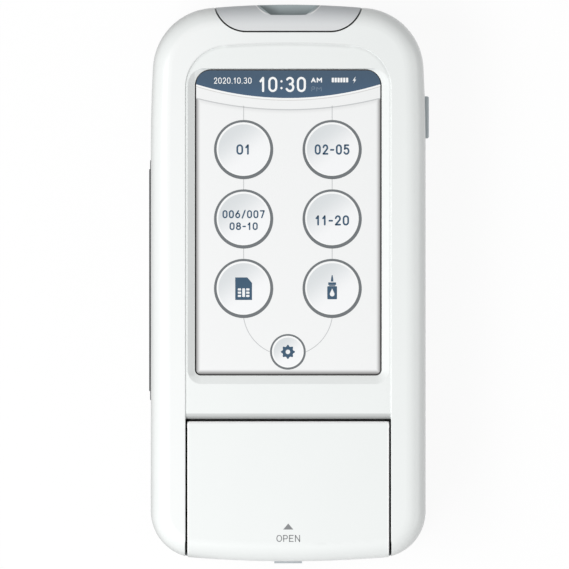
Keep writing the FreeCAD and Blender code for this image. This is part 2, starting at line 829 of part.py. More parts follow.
def make_front_housing():
    """The front shell, with the sunk panel, the screen window, the door bay and its walls."""
    shell = Piece("front_housing")
    shell.pad(shell.sketch("XY_Plane", split_z, draw_case_outline, 0), front_z - split_z)
    shell.round_edges(sizes.front_rounding, level_edge(front_z))
    shell.pocket(shell.sketch("XY_Plane", split_z, draw_case_outline, sizes.wall), roof_z - split_z)
    shell.round_edges(sizes.front_rounding - sizes.wall, level_edge(roof_z))
    inner_top = roof_z + sizes.sink_overlap
    block_half = sizes.socket_block_width / 2
    shell.block(-block_half, block_half, socket_wall_back, top_y - sizes.socket_block_inset,
                split_z, inner_top)
    bay_half = panel_half + sizes.bay_wall
    shell.block(-bay_half, bay_half, bottom_y + sizes.bay_wall_end, bay_top + sizes.bay_wall,
                split_z, inner_top)
    shell.post(case_screw_places, sizes.case_boss_radius, split_z, inner_top)
    shell.post(display_screw_places, sizes.display_boss_radius, display_bottom, inner_top)
    # The bay under the door is open to the front and through the bottom end.
    shell.cut_block(-panel_half, panel_half, bottom_y - sizes.wall, bay_top, split_z, front_z)
    shell.pocket(shell.sketch("XY_Plane", panel_z, draw_panel, bay_top), sizes.panel_step)
    shell.round_edges(sizes.panel_edge_roll, near_edge(x=0, y=bay_top, z=panel_z))
    shell.round_edges(sizes.rail_edge_round, rail_edge)
    cut_screen_window(shell)
    # The notch for the socket cover, and the sockets' holes in the wall behind it.
    shell.pocket(
        shell.sketch("XY_Plane", notch_floor, draw_socket_cover, sizes.cover_gap, sizes.cover_gap),
        front_z - notch_floor)
    for middle, width, height in socket_sizes:
        half = width / 2 + sizes.socket_gap
        shell.pocket(
            shell.sketch("XZ_Plane", -socket_wall_face, draw_rectangle, middle - half, middle + half,
                         board_top - sizes.socket_gap, board_top + height + sizes.socket_gap),
            sizes.socket_wall)
    # The power button's hole and the grip strip's seat.
    shell.pocket(
        shell.sketch("YZ_Plane", half_width - 2 * sizes.wall, draw_rectangle,
                     button_low_y - sizes.button_gap, button_high_y + sizes.button_gap,
                     button_low_z - sizes.button_gap, button_high_z + sizes.button_gap),
        3 * sizes.wall)
    shell.pocket(
        shell.sketch("YZ_Plane", -half_width, draw_rectangle,
                     grip_low_y - sizes.seat_gap, grip_high_y + sizes.seat_gap,
                     grip_low_z - sizes.seat_gap, grip_high_z + sizes.seat_gap),
        sizes.grip_sink + sizes.seat_gap)
    shell.bore(case_screw_places, screw_bore, split_z, case_screw_top + sizes.moving_gap)
    shell.bore(display_screw_places, small_bore, display_bottom,
               display_bottom + sizes.small_screw_length)
    reach = panel_half + sizes.hinge_pin_reach
    shell.pocket(shell.sketch("YZ_Plane", -reach, draw_circle, hinge_y, hinge_z, pin_bore),
                 2 * reach)
    return shell


def rail_edge(edge):
    """Tells whether an edge is where the rails drop to the sunk panel or to the bay."""
    middle = middle_of(edge)
    inside = abs(middle.x) < panel_half.number + 0.01 and middle.y < panel_top.number + 0.01
    return inside and level_edge(front_z)(edge)


def cut_screen_window(shell):
    """The window, with a sloping band at its sides and bottom that leads down to the glass."""
    slope_floor = glass_top + sizes.bevel_lip
    low = window_low - sizes.glass_gap
    high = window_high + sizes.glass_gap
    half = window_half + sizes.glass_gap
    low_corner = sizes.window_corner_bottom + sizes.glass_gap
    high_corner = sizes.window_corner_top + sizes.glass_gap
    outer = shell.sketch(
        "XY_Plane", panel_z, draw_rounded_rectangle, -(half + sizes.bevel_side),
        half + sizes.bevel_side, low - sizes.bevel_bottom, high + sizes.bevel_top,
        sizes.bevel_corner, high_corner)
    inner = shell.sketch("XY_Plane", slope_floor, draw_rounded_rectangle, -half, half, low, high,
                         low_corner, high_corner)
    slope = shell.feature("SubtractiveLoft")
    slope.Profile = outer
    slope.Sections = [inner]
    slope.Ruled = True
    doc.recompute()
    shell.pocket(
        shell.sketch("XY_Plane", roof_z, draw_rounded_rectangle, -half, half, low, high,
                     low_corner, high_corner),
        slope_floor - roof_z)


socket_sizes = [
    (as_size(0), sizes.usb_width, sizes.usb_height),
    (sizes.data_socket_x, sizes.data_socket_width, sizes.data_socket_height),
]


def make_rear_housing():
    """The rear shell, with its posts, the battery box, the latch slot and the speaker grille."""
    shell = Piece("rear_housing")
    shell.pad(shell.sketch("XY_Plane", back_z, draw_case_outline, 0), split_z - back_z)
    shell.round_edges(sizes.back_rounding, level_edge(back_z))
    shell.pocket(shell.sketch("XY_Plane", floor_z, draw_case_outline, sizes.wall), split_z - floor_z)
    shell.round_edges(sizes.back_rounding - sizes.wall, level_edge(floor_z))
    foot = floor_z - sizes.sink_overlap
    box_half = hatch_half + sizes.battery_wall
    shell.block(-box_half, box_half, hatch_low - sizes.battery_wall,
                hatch_high + sizes.battery_wall, foot, floor_z + sizes.battery_wall_height)
    shell.post(case_screw_places, sizes.case_boss_radius, foot, split_z)
    shell.post(board_places, sizes.board_post_radius, foot, board_bottom)
    shell.post(tray_places, sizes.tray_post_radius, foot, tray_under)
    shell.post(sensor_places, sizes.sensor_post_radius, foot, sensor_board_bottom)
    shell.post(lid_screw, sizes.cover_boss_radius, foot, floor_z + sizes.cover_boss_height)
    guide_half = sizes.latch_guide_width / 2
    guide_low = bottom_y + sizes.wall - sizes.sink_overlap
    shell.block(-guide_half, guide_half, guide_low, guide_low + sizes.latch_guide_length,
                foot, latch_bottom - sizes.moving_gap)
    # Openings: the battery hatch and its lid's seat, the latch slot, screws, feet and grille.
    shell.cut_block(-hatch_half, hatch_half, hatch_low, hatch_high, back_z,
                    floor_z + sizes.battery_wall_height)
    shell.pocket(
        shell.sketch("XY_Plane", back_z, draw_rounded_rectangle, -lid_half - sizes.seat_gap,
                     lid_half + sizes.seat_gap, lid_low - sizes.seat_gap,
                     lid_high + sizes.seat_gap, sizes.battery_cover_corner + sizes.seat_gap),
        sizes.battery_cover_thickness)
    shell.bore(lid_screw, small_bore, back_z, floor_z + sizes.cover_boss_height)
    shell.pocket(
        shell.sketch("XZ_Plane", -(bottom_y + 2 * sizes.wall), draw_rectangle,
                     -latch_half - sizes.moving_gap, latch_half + sizes.moving_gap,
                     latch_bottom - sizes.moving_gap, latch_top + sizes.moving_gap),
        3 * sizes.wall)
    shell.bore(case_screw_places, sizes.case_head_radius + sizes.moving_gap, back_z - sizes.wall,
               case_head_top)
    shell.bore(case_screw_places, screw_bore, case_head_top, split_z)
    shell.bore(board_places, screw_bore, board_top - sizes.board_screw_length, board_bottom)
    shell.bore(tray_places, small_bore, tray_top - sizes.tray_screw_length, tray_under)
    shell.bore(foot_places, sizes.foot_radius + sizes.seat_gap, back_z,
               back_z + sizes.foot_sink)
    grille = [(x + sizes.grille_ring * math.cos(math.radians(60 * i)),
               y + sizes.grille_ring * math.sin(math.radians(60 * i)))
              for i in range(6) for x, y in speaker_place]
    shell.bore(speaker_place + grille, sizes.grille_hole, back_z, floor_z)
    return shell


def make_screw_set(name, places, head_radius, head_bottom, head_height, radius, length, up):
    """Pan-head screws in a row of holes; up says that the heads are below the shanks."""
    screws = Piece(name)
    screws.post(places, head_radius, head_bottom, head_bottom + head_height)
    if up:
        shank_bottom = head_bottom + head_height
        screws.post(places, radius, shank_bottom, shank_bottom + length)
    else:
        screws.post(places, radius, head_bottom - length, head_bottom)
    return screws


def make_feet():
    feet = Piece("rubber_feet")
    feet.post(foot_places, sizes.foot_radius, back_z - sizes.foot_proud, back_z + sizes.foot_sink)
    return feet


def make_grip_strip():
    """The soft strip let into the left side of the case."""
    strip = Piece("grip_strip")
    face = -(half_width + sizes.grip_proud)
    strip.pad(
        strip.sketch("YZ_Plane", face, draw_rectangle, grip_low_y, grip_high_y,
                     grip_low_z, grip_high_z),
        sizes.grip_proud + sizes.grip_sink)
    strip.round_edges(sizes.grip_rounding, near_edge(x=face))
    return strip


def make_side_button():
    """The power button: a cap through the case wall, a flange inside it and a stem."""
    button = Piece("side_button")
    face = half_width + sizes.button_proud
    flange_face = half_width - sizes.wall - sizes.button_flange_gap
    flange_back = flange_face - sizes.button_flange_depth
    button.pad(
        button.sketch("YZ_Plane", flange_face, draw_rectangle, button_low_y, button_high_y,
                      button_low_z, button_high_z),
        face - flange_face)
    button.round_edges(sizes.button_rounding, near_edge(x=face))
    rim = sizes.button_flange
    button.pad(
        button.sketch("YZ_Plane", flange_back, draw_rectangle, button_low_y - rim,
                      button_high_y + rim, button_low_z - rim, button_high_z + rim),
        sizes.button_flange_depth)
    half = sizes.button_stem / 2
    button.pad(
        button.sketch("YZ_Plane", flange_back - sizes.button_stem_length, draw_rectangle,
                      button_y - half, button_y + half, button_z - half, button_z + half),
        sizes.button_stem_length)
    return button


def make_socket_cover():
    """The grey cover over the sockets, with a thumb scoop in its edge."""
    cover = Piece("socket_cover")
    cover.pad(cover.sketch("XY_Plane", cover_bottom, draw_socket_cover, 0, 0),
              front_z - cover_bottom)
    cover.round_edges(sizes.front_rounding, near_edge(x=0, y=top_y, z=front_z))
    scoop_z = front_z - sizes.scoop_depth
    ceiling = scoop_z - sizes.cover_skin
    cover.pocket(
        cover.sketch("XY_Plane", cover_bottom, draw_socket_cover, -sizes.cover_skin,
                     -sizes.cover_skin),
        ceiling - cover_bottom)
    low = top_y - sizes.cover_depth
    cover.cut_block(-sizes.cover_flat, sizes.cover_flat, low - sizes.cover_gap,
                    low + sizes.cover_skin + sizes.sink_overlap, cover_bottom, ceiling)
    cover.pocket(cover.sketch("XY_Plane", scoop_z, draw_scoop), sizes.scoop_depth)
    return cover


def draw_scoop(sketch):
    """A thumb scoop that widens towards the end of the case."""
    foot = sizes.scoop_foot_width / 2
    mouth = sizes.scoop_width / 2
    low = top_y - sizes.scoop_reach
    high = top_y + sizes.moving_gap
    corners = [(-foot, low), (foot, low), (mouth, high), (-mouth, high)]
    chain = [add_line(sketch, corners[i], corners[(i + 1) % 4]) for i in range(4)]
    join_up(sketch, chain, [False] * 4)
    for edge, (x, y) in zip(chain, corners):
        place_point(sketch, edge[0], 1, x, y)


# ---------------------------------------------------------------- test door and latch


def make_test_door():
    """The flip-up door: a plate, the end wall it wraps over, its hinge barrel and its catch."""
    door = Piece("test_door")
    door.pad(door.sketch("XY_Plane", skirt_bottom, draw_door, door_half, door_top, as_size(0)),
             door_face - skirt_bottom)
    door.round_edges(sizes.front_rounding, near_edge(x=0, y=bottom_y, z=door_face))
    under = door_face - sizes.door_thickness
    door.pocket(
        door.sketch("XY_Plane", skirt_bottom, draw_door, door_half + sizes.wall,
                    door_top + sizes.wall, sizes.door_thickness),
        under - skirt_bottom)
    inner_face = bottom_y + sizes.door_thickness
    door.round_edges(sizes.front_rounding - sizes.door_thickness,
                     near_edge(x=0, y=inner_face, z=under))
    sides = [near_edge(x=side, z=door_face) for side in (-door_half, door_half)]
    door.round_edges(sizes.door_side_round, lambda edge: any(chosen(edge) for chosen in sides))
    door.round_edges(sizes.door_edge_round, near_edge(x=0, y=door_top, z=door_face))
    door.pad(door.sketch("YZ_Plane", -door_half, draw_circle, hinge_y, hinge_z,
                         sizes.hinge_barrel),
             2 * door_half)
    door.pocket(door.sketch("YZ_Plane", -door_half, draw_circle, hinge_y, hinge_z, pin_bore),
                2 * door_half)
    catch_half = sizes.catch_width / 2
    door.block(-catch_half, catch_half, inner_face - sizes.sink_overlap, catch_face,
               skirt_bottom, catch_top)
    return door


def make_hinge_pin():
    pin = Piece("hinge_pin")
    reach = panel_half + sizes.hinge_pin_reach - sizes.seat_gap
    pin.pad(pin.sketch("YZ_Plane", -reach, draw_circle, hinge_y, hinge_z, sizes.hinge_pin_radius),
            2 * reach)
    return pin


def make_door_latch():
    """The push latch: a tab out of the bottom end, a flange behind the wall and a hook."""
    latch = Piece("door_latch")
    low = bottom_y - sizes.latch_proud
    latch.block(-latch_half, latch_half, low, low + sizes.latch_length, latch_bottom, latch_top)
    flange_half = latch_half + sizes.latch_flange
    flange_low = bottom_y + sizes.wall + sizes.latch_flange_gap
    latch.block(-flange_half, flange_half, flange_low, flange_low + sizes.latch_flange_depth,
                latch_bottom, latch_top)
    hook_half = sizes.latch_hook_width / 2
    nose_face = catch_face + sizes.moving_gap
    stem_low = nose_face + sizes.latch_nose
    nose_bottom = catch_top + sizes.moving_gap
    hook_top = nose_bottom + sizes.latch_nose_height
    latch.block(-hook_half, hook_half, stem_low, stem_low + sizes.latch_hook_depth,
                latch_top - sizes.sink_overlap, hook_top)
    latch.block(-hook_half, hook_half, nose_face, stem_low + sizes.sink_overlap,
                nose_bottom, hook_top)
    return latch


# ---------------------------------------------------------------- test bay


def make_bay_tray():
    """The grey tray under the door: a shell with a strip channel and the optics opening."""
    tray = Piece("bay_tray")
    bottom = split_z + sizes.moving_gap
    tray.pad(
        tray.sketch("XY_Plane", bottom, draw_door, tray_half, tray_high,
                    sizes.door_thickness + sizes.tray_end_gap),
        tray_top - bottom)
    wall = sizes.tray_wall
    corners = [near_edge(x=side, z=(bottom + tray_top) / 2) for side in (-tray_half, tray_half)]
    tray.round_edges(sizes.tray_corner, lambda edge: any(chosen(edge) for chosen in corners))
    tray.pocket(
        tray.sketch("XY_Plane", bottom, draw_door, tray_half - wall, tray_high - wall,
                    sizes.door_thickness + sizes.tray_end_gap + wall),
        tray_under - bottom)
    channel_half = sizes.channel_width / 2
    tray.cut_block(-channel_half, channel_half, tray_low - wall, channel_high,
                   channel_floor, tray_top)
    window = sizes.optics_window_length / 2
    tray.cut_block(-channel_half, channel_half, optics_y - window, optics_y + window,
                   tray_under, channel_floor)
    # The latch's hook rises through a gap in the tray's front wall.
    gap_half = sizes.latch_hook_width / 2 + 2 * sizes.moving_gap
    hook_back = (catch_face + sizes.moving_gap + sizes.latch_nose + sizes.latch_hook_depth
                 + sizes.latch_travel + sizes.moving_gap)
    tray.cut_block(-gap_half, gap_half, tray_low - wall, hook_back, bottom,
                   tray_under)
    tray.bore(tray_places, small_bore, tray_under, tray_top)
    return tray


def make_strip_port():
    """The dark housing at the channel's end that a test strip slides into."""
    port = Piece("strip_port")
    low = channel_high - sizes.channel_port_lap
    half = sizes.port_width / 2
    port.block(-half, half, low, low + sizes.port_length, tray_top, tray_top + sizes.port_height)
    slot_half = sizes.port_slot_width / 2
    port.cut_block(-slot_half, slot_half, low, channel_high, tray_top,
                   tray_top + sizes.port_slot_height)
    return port


def make_strip_contacts():
    """The row of spring contacts on the channel's floor, under the strip port."""
    contacts = Piece("strip_contacts")
    count = int(sizes.contact_count.number)
    half = sizes.contact_width / 2
    high = channel_high - sizes.moving_gap
    middles = [(i - (count - 1) / 2) * sizes.contact_pitch for i in range(count)]

    def draw_strips(sketch):
        for middle in middles:
            draw_rectangle(sketch, middle - half, middle + half, high - sizes.contact_length, high)

    contacts.pad(contacts.sketch("XY_Plane", channel_floor, draw_strips), sizes.contact_thickness)
    return contacts


def make_optics():
    """The optics under the channel: window, black block, light source and light sensor."""
    window = Piece("optics_window")
    half = sizes.channel_width / 2 - sizes.seat_gap
    reach = sizes.optics_window_length / 2 - sizes.seat_gap
    window.block(-half, half, optics_y - reach, optics_y + reach, tray_under,
                 tray_under + sizes.optics_glass)
    block = Piece("optics_block")
    half = sizes.optics_block_width / 2
    reach = sizes.optics_block_length / 2
    block.block(-half, half, optics_y - reach, optics_y + reach, sensor_board_top, tray_under)
    bore_top = sensor_board_top + sizes.sensor_height + sizes.seat_gap
    block.bore(optics_places, sizes.sensor_radius + sizes.seat_gap, sensor_board_top, bore_top)
    block.bore(optics_places, sizes.light_path_radius, bore_top, tray_under)
    pieces = [window, block]
    for name, place in zip(["light_source", "light_sensor"], optics_places):
        lamp = Piece(name)
        lamp.post([place], sizes.sensor_radius, sensor_board_top,
                  sensor_board_top + sizes.sensor_height)
        pieces.append(lamp)
    board = Piece("sensor_board")
    half = sizes.sensor_board_width / 2
    board.block(-half, half, sensor_board_low, sensor_board_high, sensor_board_bottom,
                sensor_board_top)
    return pieces + [board]


def make_chip_socket():
    """The socket that a lot's code chip is pushed into."""
    socket = Piece("chip_socket")
    half = sizes.chip_socket_width / 2
    middle = tray_half - sizes.chip_socket_side - half
    low = bottom_y + sizes.chip_socket_low
    socket.block(middle - half, middle + half, low, low + sizes.chip_socket_length,
                 tray_top, tray_top + sizes.chip_socket_height)
    slot_half = sizes.chip_slot_width / 2
    slot_bottom = tray_top + sizes.chip_slot_rise
    socket.cut_block(middle - slot_half, middle + slot_half, low, low + sizes.chip_slot_depth,
                     slot_bottom, slot_bottom + sizes.chip_slot_height)
    return socket


# ---------------------------------------------------------------- screen


def make_screen():
    """The cover glass, the gasket under its edge and the display module behind it."""
    glass = Piece("screen_glass")
    glass.pad(
        glass.sketch("XY_Plane", roof_z, draw_rounded_rectangle, -window_half, window_half,
                     window_low, window_high, sizes.window_corner_bottom,
                     sizes.window_corner_top),
        sizes.glass_thickness)
    gasket = Piece("screen_gasket")
    outer = sizes.gasket_outer_lap
    gasket.block(-window_half - outer, window_half + outer, window_low - outer,
                 window_high + outer, gasket_bottom, roof_z)
    inner = sizes.gasket_inner_lap
    gasket.cut_block(inner - window_half, window_half - inner, window_low + inner,
                     window_high - inner, gasket_bottom, roof_z)
    display = Piece("display_panel")
    display.block(-display_half, display_half, display_low, display_high,
                  display_bottom, gasket_bottom)
    return [glass, gasket, display]


def make_display_frame():
    """The metal frame behind the display, with ears that screw to the front shell."""
    frame = Piece("display_frame")
    low = display_low + sizes.ribbon_seat_depth
    frame.block(-display_half, display_half, low, display_high, frame_bottom, display_bottom)
    band = sizes.frame_band
    frame.cut_block(band - display_half, display_half - band, low + band, display_high - band,
                    frame_bottom, display_bottom)
    ear_end = half_width - sizes.frame_ear_inset
    half = sizes.frame_ear_width / 2
    for row in display_rows:
        for left, right in ((-ear_end, -display_half + band), (display_half - band, ear_end)):
            frame.block(left, right, row - half, row + half, frame_bottom, display_bottom)
    frame.bore(display_screw_places, small_bore, frame_bottom, display_bottom)
    return frame


def make_display_ribbon():
    """The flat ribbon that turns back from the display's edge to the socket on the board."""
    upper = (gasket_bottom + display_bottom).number / 2
    lower = (board_top + sizes.ribbon_seat_depth).number
    half = sizes.ribbon_thickness.number / 2
    bend = sizes.ribbon_bend.number
    edge_y = display_low.number
    bend_y = edge_y - sizes.ribbon_lead.number
    tail_y = edge_y + sizes.ribbon_tail.number

    def side(radius):
        """One face of the ribbon: out of the display, down, and back over the board."""
        slant = radius * math.sqrt(0.5)
        high = upper - bend
        low = lower + bend
        return [
            Part.makeLine(Vector(0, edge_y, high + radius), Vector(0, bend_y, high + radius)),
            Part.Arc(Vector(0, bend_y, high + radius),
                     Vector(0, bend_y - slant, high + slant),
                     Vector(0, bend_y - radius, high)).toShape(),
            Part.makeLine(Vector(0, bend_y - radius, high), Vector(0, bend_y - radius, low)),
            Part.Arc(Vector(0, bend_y - radius, low),
                     Vector(0, bend_y - slant, low - slant),
                     Vector(0, bend_y, low - radius)).toShape(),
            Part.makeLine(Vector(0, bend_y, low - radius), Vector(0, tail_y, low - radius)),
        ]

    outer = side(bend + half)
    inner = side(bend - half)
    tail = Part.makeLine(Vector(0, tail_y, lower - half), Vector(0, tail_y, lower + half))
    edge = Part.makeLine(Vector(0, edge_y, upper - half), Vector(0, edge_y, upper + half))
    wire = Part.Wire(outer + [tail] + inner[::-1] + [edge])
    width = sizes.ribbon_width.number
    ribbon = doc.addObject("Part::Feature", "display_ribbon")
    ribbon.Label = "display_ribbon"
    ribbon.Shape = Part.Face(wire).extrude(Vector(width, 0, 0))
    ribbon.Placement = Placement(Vector(-width / 2, 0, 0), Rotation())
    return ribbon


# ---------------------------------------------------------------- boards and battery


def make_main_board():
    board = Piece("main_board")
    board.block(-board_half, board_half, board_low, board_high, board_bottom, board_top)
    board.bore(board_places, screw_bore, board_bottom, board_top)
    return board


def make_board_parts():
    """What the main board carries: sockets, chips, shield and the power switch."""
    pieces = []

    def add_part(name, left, right, low, high, height):
        piece = Piece(name)
        piece.block(left, right, low, high, board_top, board_top + height)
        pieces.append(piece)
        return piece

    end = socket_wall_face - sizes.seat_gap
    for name, (middle, width, height) in zip(["usb_socket", "data_socket"], socket_sizes):
        add_part(name, middle - width / 2, middle + width / 2, end - sizes.usb_length, end, height)
    ribbon_end = display_low + sizes.ribbon_tail
    socket_half = sizes.ribbon_width / 2 + sizes.ribbon_seat_depth
    add_part("ribbon_socket", -socket_half, socket_half, ribbon_end,
             ribbon_end + sizes.ribbon_socket_depth, 2 * sizes.ribbon_seat_depth)
    shield_low = board_low + sizes.shield_low
    add_part("radio_shield", -sizes.shield_x - sizes.shield_length / 2,
             -sizes.shield_x + sizes.shield_length / 2, shield_low,
             shield_low + sizes.shield_width, sizes.shield_height)
    processor_half = sizes.processor_side / 2
    processor_low = board_low + sizes.processor_low
    add_part("processor", -processor_half, processor_half, processor_low,
             processor_low + sizes.processor_side, sizes.processor_height)
    stem_end = (half_width - sizes.wall - sizes.button_flange_gap - sizes.button_flange_depth
                - sizes.button_stem_length)
    tip_end = stem_end - sizes.button_travel - sizes.switch_tip_gap
    body_face = tip_end - sizes.switch_tip
    half = sizes.switch_length / 2
    switch = add_part("power_switch", body_face - sizes.switch_body, body_face, button_y - half,
                      button_y + half, sizes.switch_height)
    tip = sizes.switch_tip_side / 2
    switch.pad(
        switch.sketch("YZ_Plane", body_face, draw_rectangle, button_y - tip, button_y + tip,
                      button_z - tip, button_z + tip),
        sizes.switch_tip)
    return pieces


def make_battery():
    """The battery, its three spring contacts, its lid in the back and the speaker."""
    battery = Piece("battery_pack")
    battery.block(-battery_half, battery_half, battery_low, battery_high,
                  battery_bottom, battery_top)
    contacts = Piece("battery_contacts")
    half = sizes.battery_contact_width / 2
    high = battery_high - sizes.battery_contact_inset

    def draw_contacts(sketch):
        for step in (-1, 0, 1):
            middle = step * sizes.battery_contact_pitch
            draw_rectangle(sketch, middle - half, middle + half,
                           high - sizes.battery_contact_length, high)

    contacts.pad(contacts.sketch("XY_Plane", battery_top, draw_contacts),
                 board_bottom - battery_top)
    lid = Piece("battery_cover")
    lid.pad(
        lid.sketch("XY_Plane", back_z, draw_rounded_rectangle, -lid_half, lid_half, lid_low,
                   lid_high, sizes.battery_cover_corner),
        sizes.battery_cover_thickness)
    head_top = back_z + sizes.cover_head_height
    lid.bore(lid_screw, sizes.small_head_radius + sizes.seat_gap, back_z, head_top)
    lid.bore(lid_screw, small_bore, head_top, back_z + sizes.battery_cover_thickness)
    speaker = Piece("speaker")
    speaker.post(speaker_place, sizes.speaker_radius, floor_z, floor_z + sizes.speaker_height)
    return [battery, contacts, lid, speaker]


pieces = [
    make_front_housing(),
    make_rear_housing(),
    make_feet(),
    make_grip_strip(),
    make_side_button(),
    make_socket_cover(),
    make_test_door(),
    make_hinge_pin(),
    make_door_latch(),
    make_bay_tray(),
    make_strip_port(),
    make_strip_contacts(),
    *make_optics(),
    make_chip_socket(),
    *make_screen(),
    make_display_frame(),
    make_main_board(),
    *make_board_parts(),
    *make_battery(),
    make_screw_set("case_screws", case_screw_places, sizes.case_head_radius, case_head_bottom,
                   sizes.case_head_height, sizes.case_screw_radius, sizes.case_screw_length, True),
    make_screw_set("display_screws", display_screw_places, sizes.small_head_radius,
                   frame_bottom - sizes.small_head_height, sizes.small_head_height,
                   sizes.small_screw_radius, sizes.small_screw_length, True),
    make_screw_set("cover_screw", lid_screw, sizes.small_head_radius, back_z,
                   sizes.cover_head_height, sizes.small_screw_radius,
                   sizes.cover_boss_height, True),
    make_screw_set("board_screws", board_places, sizes.case_head_radius, board_top,
                   sizes.small_head_height, sizes.case_screw_radius,
                   sizes.board_screw_length, False),
    make_screw_set("tray_screws", tray_places, sizes.small_head_radius, tray_top,
                   sizes.small_head_height, sizes.small_screw_radius,
                   sizes.tray_screw_length, False),
]
finished = [piece.body for piece in pieces] + [make_display_ribbon()]

doc.recompute()
for item in doc.Objects:
    if any(state in ("Invalid", "Error") for state in item.State):
        raise ValueError(f"{item.Name} did not build: {item.State}")
for item in finished:
    if item.Shape.isNull() or not item.Shape.isValid():
        raise ValueError(f"{item.Label} has no sound shape")

os.makedirs("parts", exist_ok=True)
for item in finished:
    item.Shape.exportStep(f"parts/{item.Label}.step")
    box = item.Shape.BoundBox
    print(f"{item.Label:18s} solids {len(item.Shape.Solids)}  volume {item.Shape.Volume:9.1f}"
          f"  x {box.XMin:7.2f} {box.XMax:7.2f}  y {box.YMin:7.2f} {box.YMax:7.2f}"
          f"  z {box.ZMin:6.2f} {box.ZMax:6.2f}")
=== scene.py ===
# %% [markdown]
# # A hand-held test reader, dressed for the camera
#
# The reader is a white plastic case, a little longer than a hand, with a touch screen, a flip-up
# door over the place where a test strip goes in, a grey cover over its sockets, a grey button and
# a soft grip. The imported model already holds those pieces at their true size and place. This
# lesson gives them their finishes, draws what the screen shows, and adds the small things that
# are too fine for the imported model, such as the cross in a screw's head.
#
# Everything is in metres, with the reader on its back: +X is its right side, +Y its top end and
# +Z comes out of the screen. Sizes below are written in millimetres and multiplied by MM.

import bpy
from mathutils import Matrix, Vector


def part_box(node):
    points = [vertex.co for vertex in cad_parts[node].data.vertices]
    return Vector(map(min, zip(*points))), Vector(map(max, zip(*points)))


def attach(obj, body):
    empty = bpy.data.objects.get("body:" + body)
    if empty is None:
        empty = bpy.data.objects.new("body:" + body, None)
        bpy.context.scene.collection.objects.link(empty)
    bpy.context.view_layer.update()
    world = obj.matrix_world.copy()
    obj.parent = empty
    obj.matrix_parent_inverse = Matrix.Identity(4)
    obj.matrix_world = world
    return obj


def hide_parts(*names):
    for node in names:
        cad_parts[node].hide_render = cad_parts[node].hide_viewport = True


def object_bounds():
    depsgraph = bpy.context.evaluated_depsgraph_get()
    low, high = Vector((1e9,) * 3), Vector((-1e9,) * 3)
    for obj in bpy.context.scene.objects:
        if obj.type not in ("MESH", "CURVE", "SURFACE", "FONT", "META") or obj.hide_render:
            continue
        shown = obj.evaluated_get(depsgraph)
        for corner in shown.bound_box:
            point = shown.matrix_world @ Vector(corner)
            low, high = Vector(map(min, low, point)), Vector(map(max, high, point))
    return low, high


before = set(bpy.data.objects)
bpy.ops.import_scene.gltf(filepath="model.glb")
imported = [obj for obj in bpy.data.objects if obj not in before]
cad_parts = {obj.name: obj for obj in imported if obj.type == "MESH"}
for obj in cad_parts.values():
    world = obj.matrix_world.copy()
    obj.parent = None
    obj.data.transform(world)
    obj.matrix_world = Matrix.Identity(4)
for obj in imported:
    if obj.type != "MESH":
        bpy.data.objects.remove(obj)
packed_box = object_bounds()

# %% Modules and units
import math

import bmesh
import bpy
from mathutils import Matrix, Vector

MM = 0.001


def box_mm(node):
    """A node's lowest and highest corner, in millimetres."""
    low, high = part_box(node)
    return low / MM, high / MM


glass_low, glass_high = box_mm("screen_glass")
face_low, face_high = box_mm("front_housing")
door_high = box_mm("test_door")[1]
print("glass top at", round(glass_high.z, 2), "and door top at", round(door_high.z, 2))

# %% [markdown]
# ## Node maths as plain Python
#
# A procedural finish is a chain of small sums: a bit of noise, scaled, added to a roughness. Such
# a chain is easiest to read as an expression, so a small class wraps a socket and turns + - * and /
# into Math nodes. Every other node comes from one method, which takes the node's type, its settings
# and what goes into its sockets. Materials and Geometry Nodes trees are both made this way.

# %% A wire that can be added and multiplied


class Wire:
    """What a node gives. Adding to it or multiplying it adds a Math node to its tree."""

    def __init__(self, owner, socket):
        self.owner = owner
        self.socket = socket

    def math(self, operation, first, second):
        """Any Math node on two wires or numbers."""
        return self.owner.node("ShaderNodeMath", {"operation": operation}, {0: first, 1: second})

    def __add__(self, other):
        return self.math("ADD", self, other)

    def __sub__(self, other):
        return self.math("SUBTRACT", self, other)

    def __rsub__(self, other):
        return self.math("SUBTRACT", other, self)

    def __mul__(self, other):
        return self.math("MULTIPLY", self, other)

    def __truediv__(self, other):
        return self.math("DIVIDE", self, other)

    def size(self):
        """The value without its sign."""
        return self.math("ABSOLUTE", self, 0.0)

    def at_least(self, other):
        """The larger of two values."""
        return self.math("MAXIMUM", self, other)

    def about(self, middle, spread):
        """A noise, 0 to 1, as a number that wanders about a middle."""
        return middle + (self - 0.5) * spread

    def beyond(self, other, radius):
        """How far two coordinates together lie outside a circle."""
        return self.math("SQRT", self * self + other * other, 0.0) - radius

    __radd__ = __add__
    __rmul__ = __mul__


# %% A tree in the making


class Tree:
    """A node tree in the making, whose nodes give wires."""

    def __init__(self, tree):
        self.tree = tree

    def feed(self, socket, value):
        """Links a wire, or each wire of a list, to a socket, or writes a plain value on it."""
        for source in value if isinstance(value, list) else [value]:
            if isinstance(source, Wire):
                self.tree.links.new(source.socket, socket)
            else:
                socket.default_value = source

    def node(self, kind, settings=(), values=(), output=0):
        """Any node: its settings are made first, then its sockets are fed."""
        node = self.tree.nodes.new(kind)
        for name, value in dict(settings).items():
            setattr(node, name, value)
        for socket, value in dict(values).items():
            self.feed(node.inputs[socket], value)
        return Wire(self, node.outputs[output])


# %% Colours


def tint(red, green, blue):
    """A screen colour, 0 to 255, as the linear colour that a shader takes, by the sRGB curve."""
    def linear(value):
        share = value / 255
        return share / 12.92 if share <= 0.04045 else ((share + 0.055) / 1.055) ** 2.4
    return (linear(red), linear(green), linear(blue), 1.0)


def grey(share):
    """A linear grey, from 0 for black to 1 for white."""
    return (share, share, share, 1.0)


def shaded(colour, factor):
    """A linear colour made darker or lighter by a factor."""
    return tuple(min(1.0, channel * factor) for channel in colour[:3]) + (1.0,)


BLACK = grey(0.0)
WHITE = grey(1.0)

# %% A finish in the making


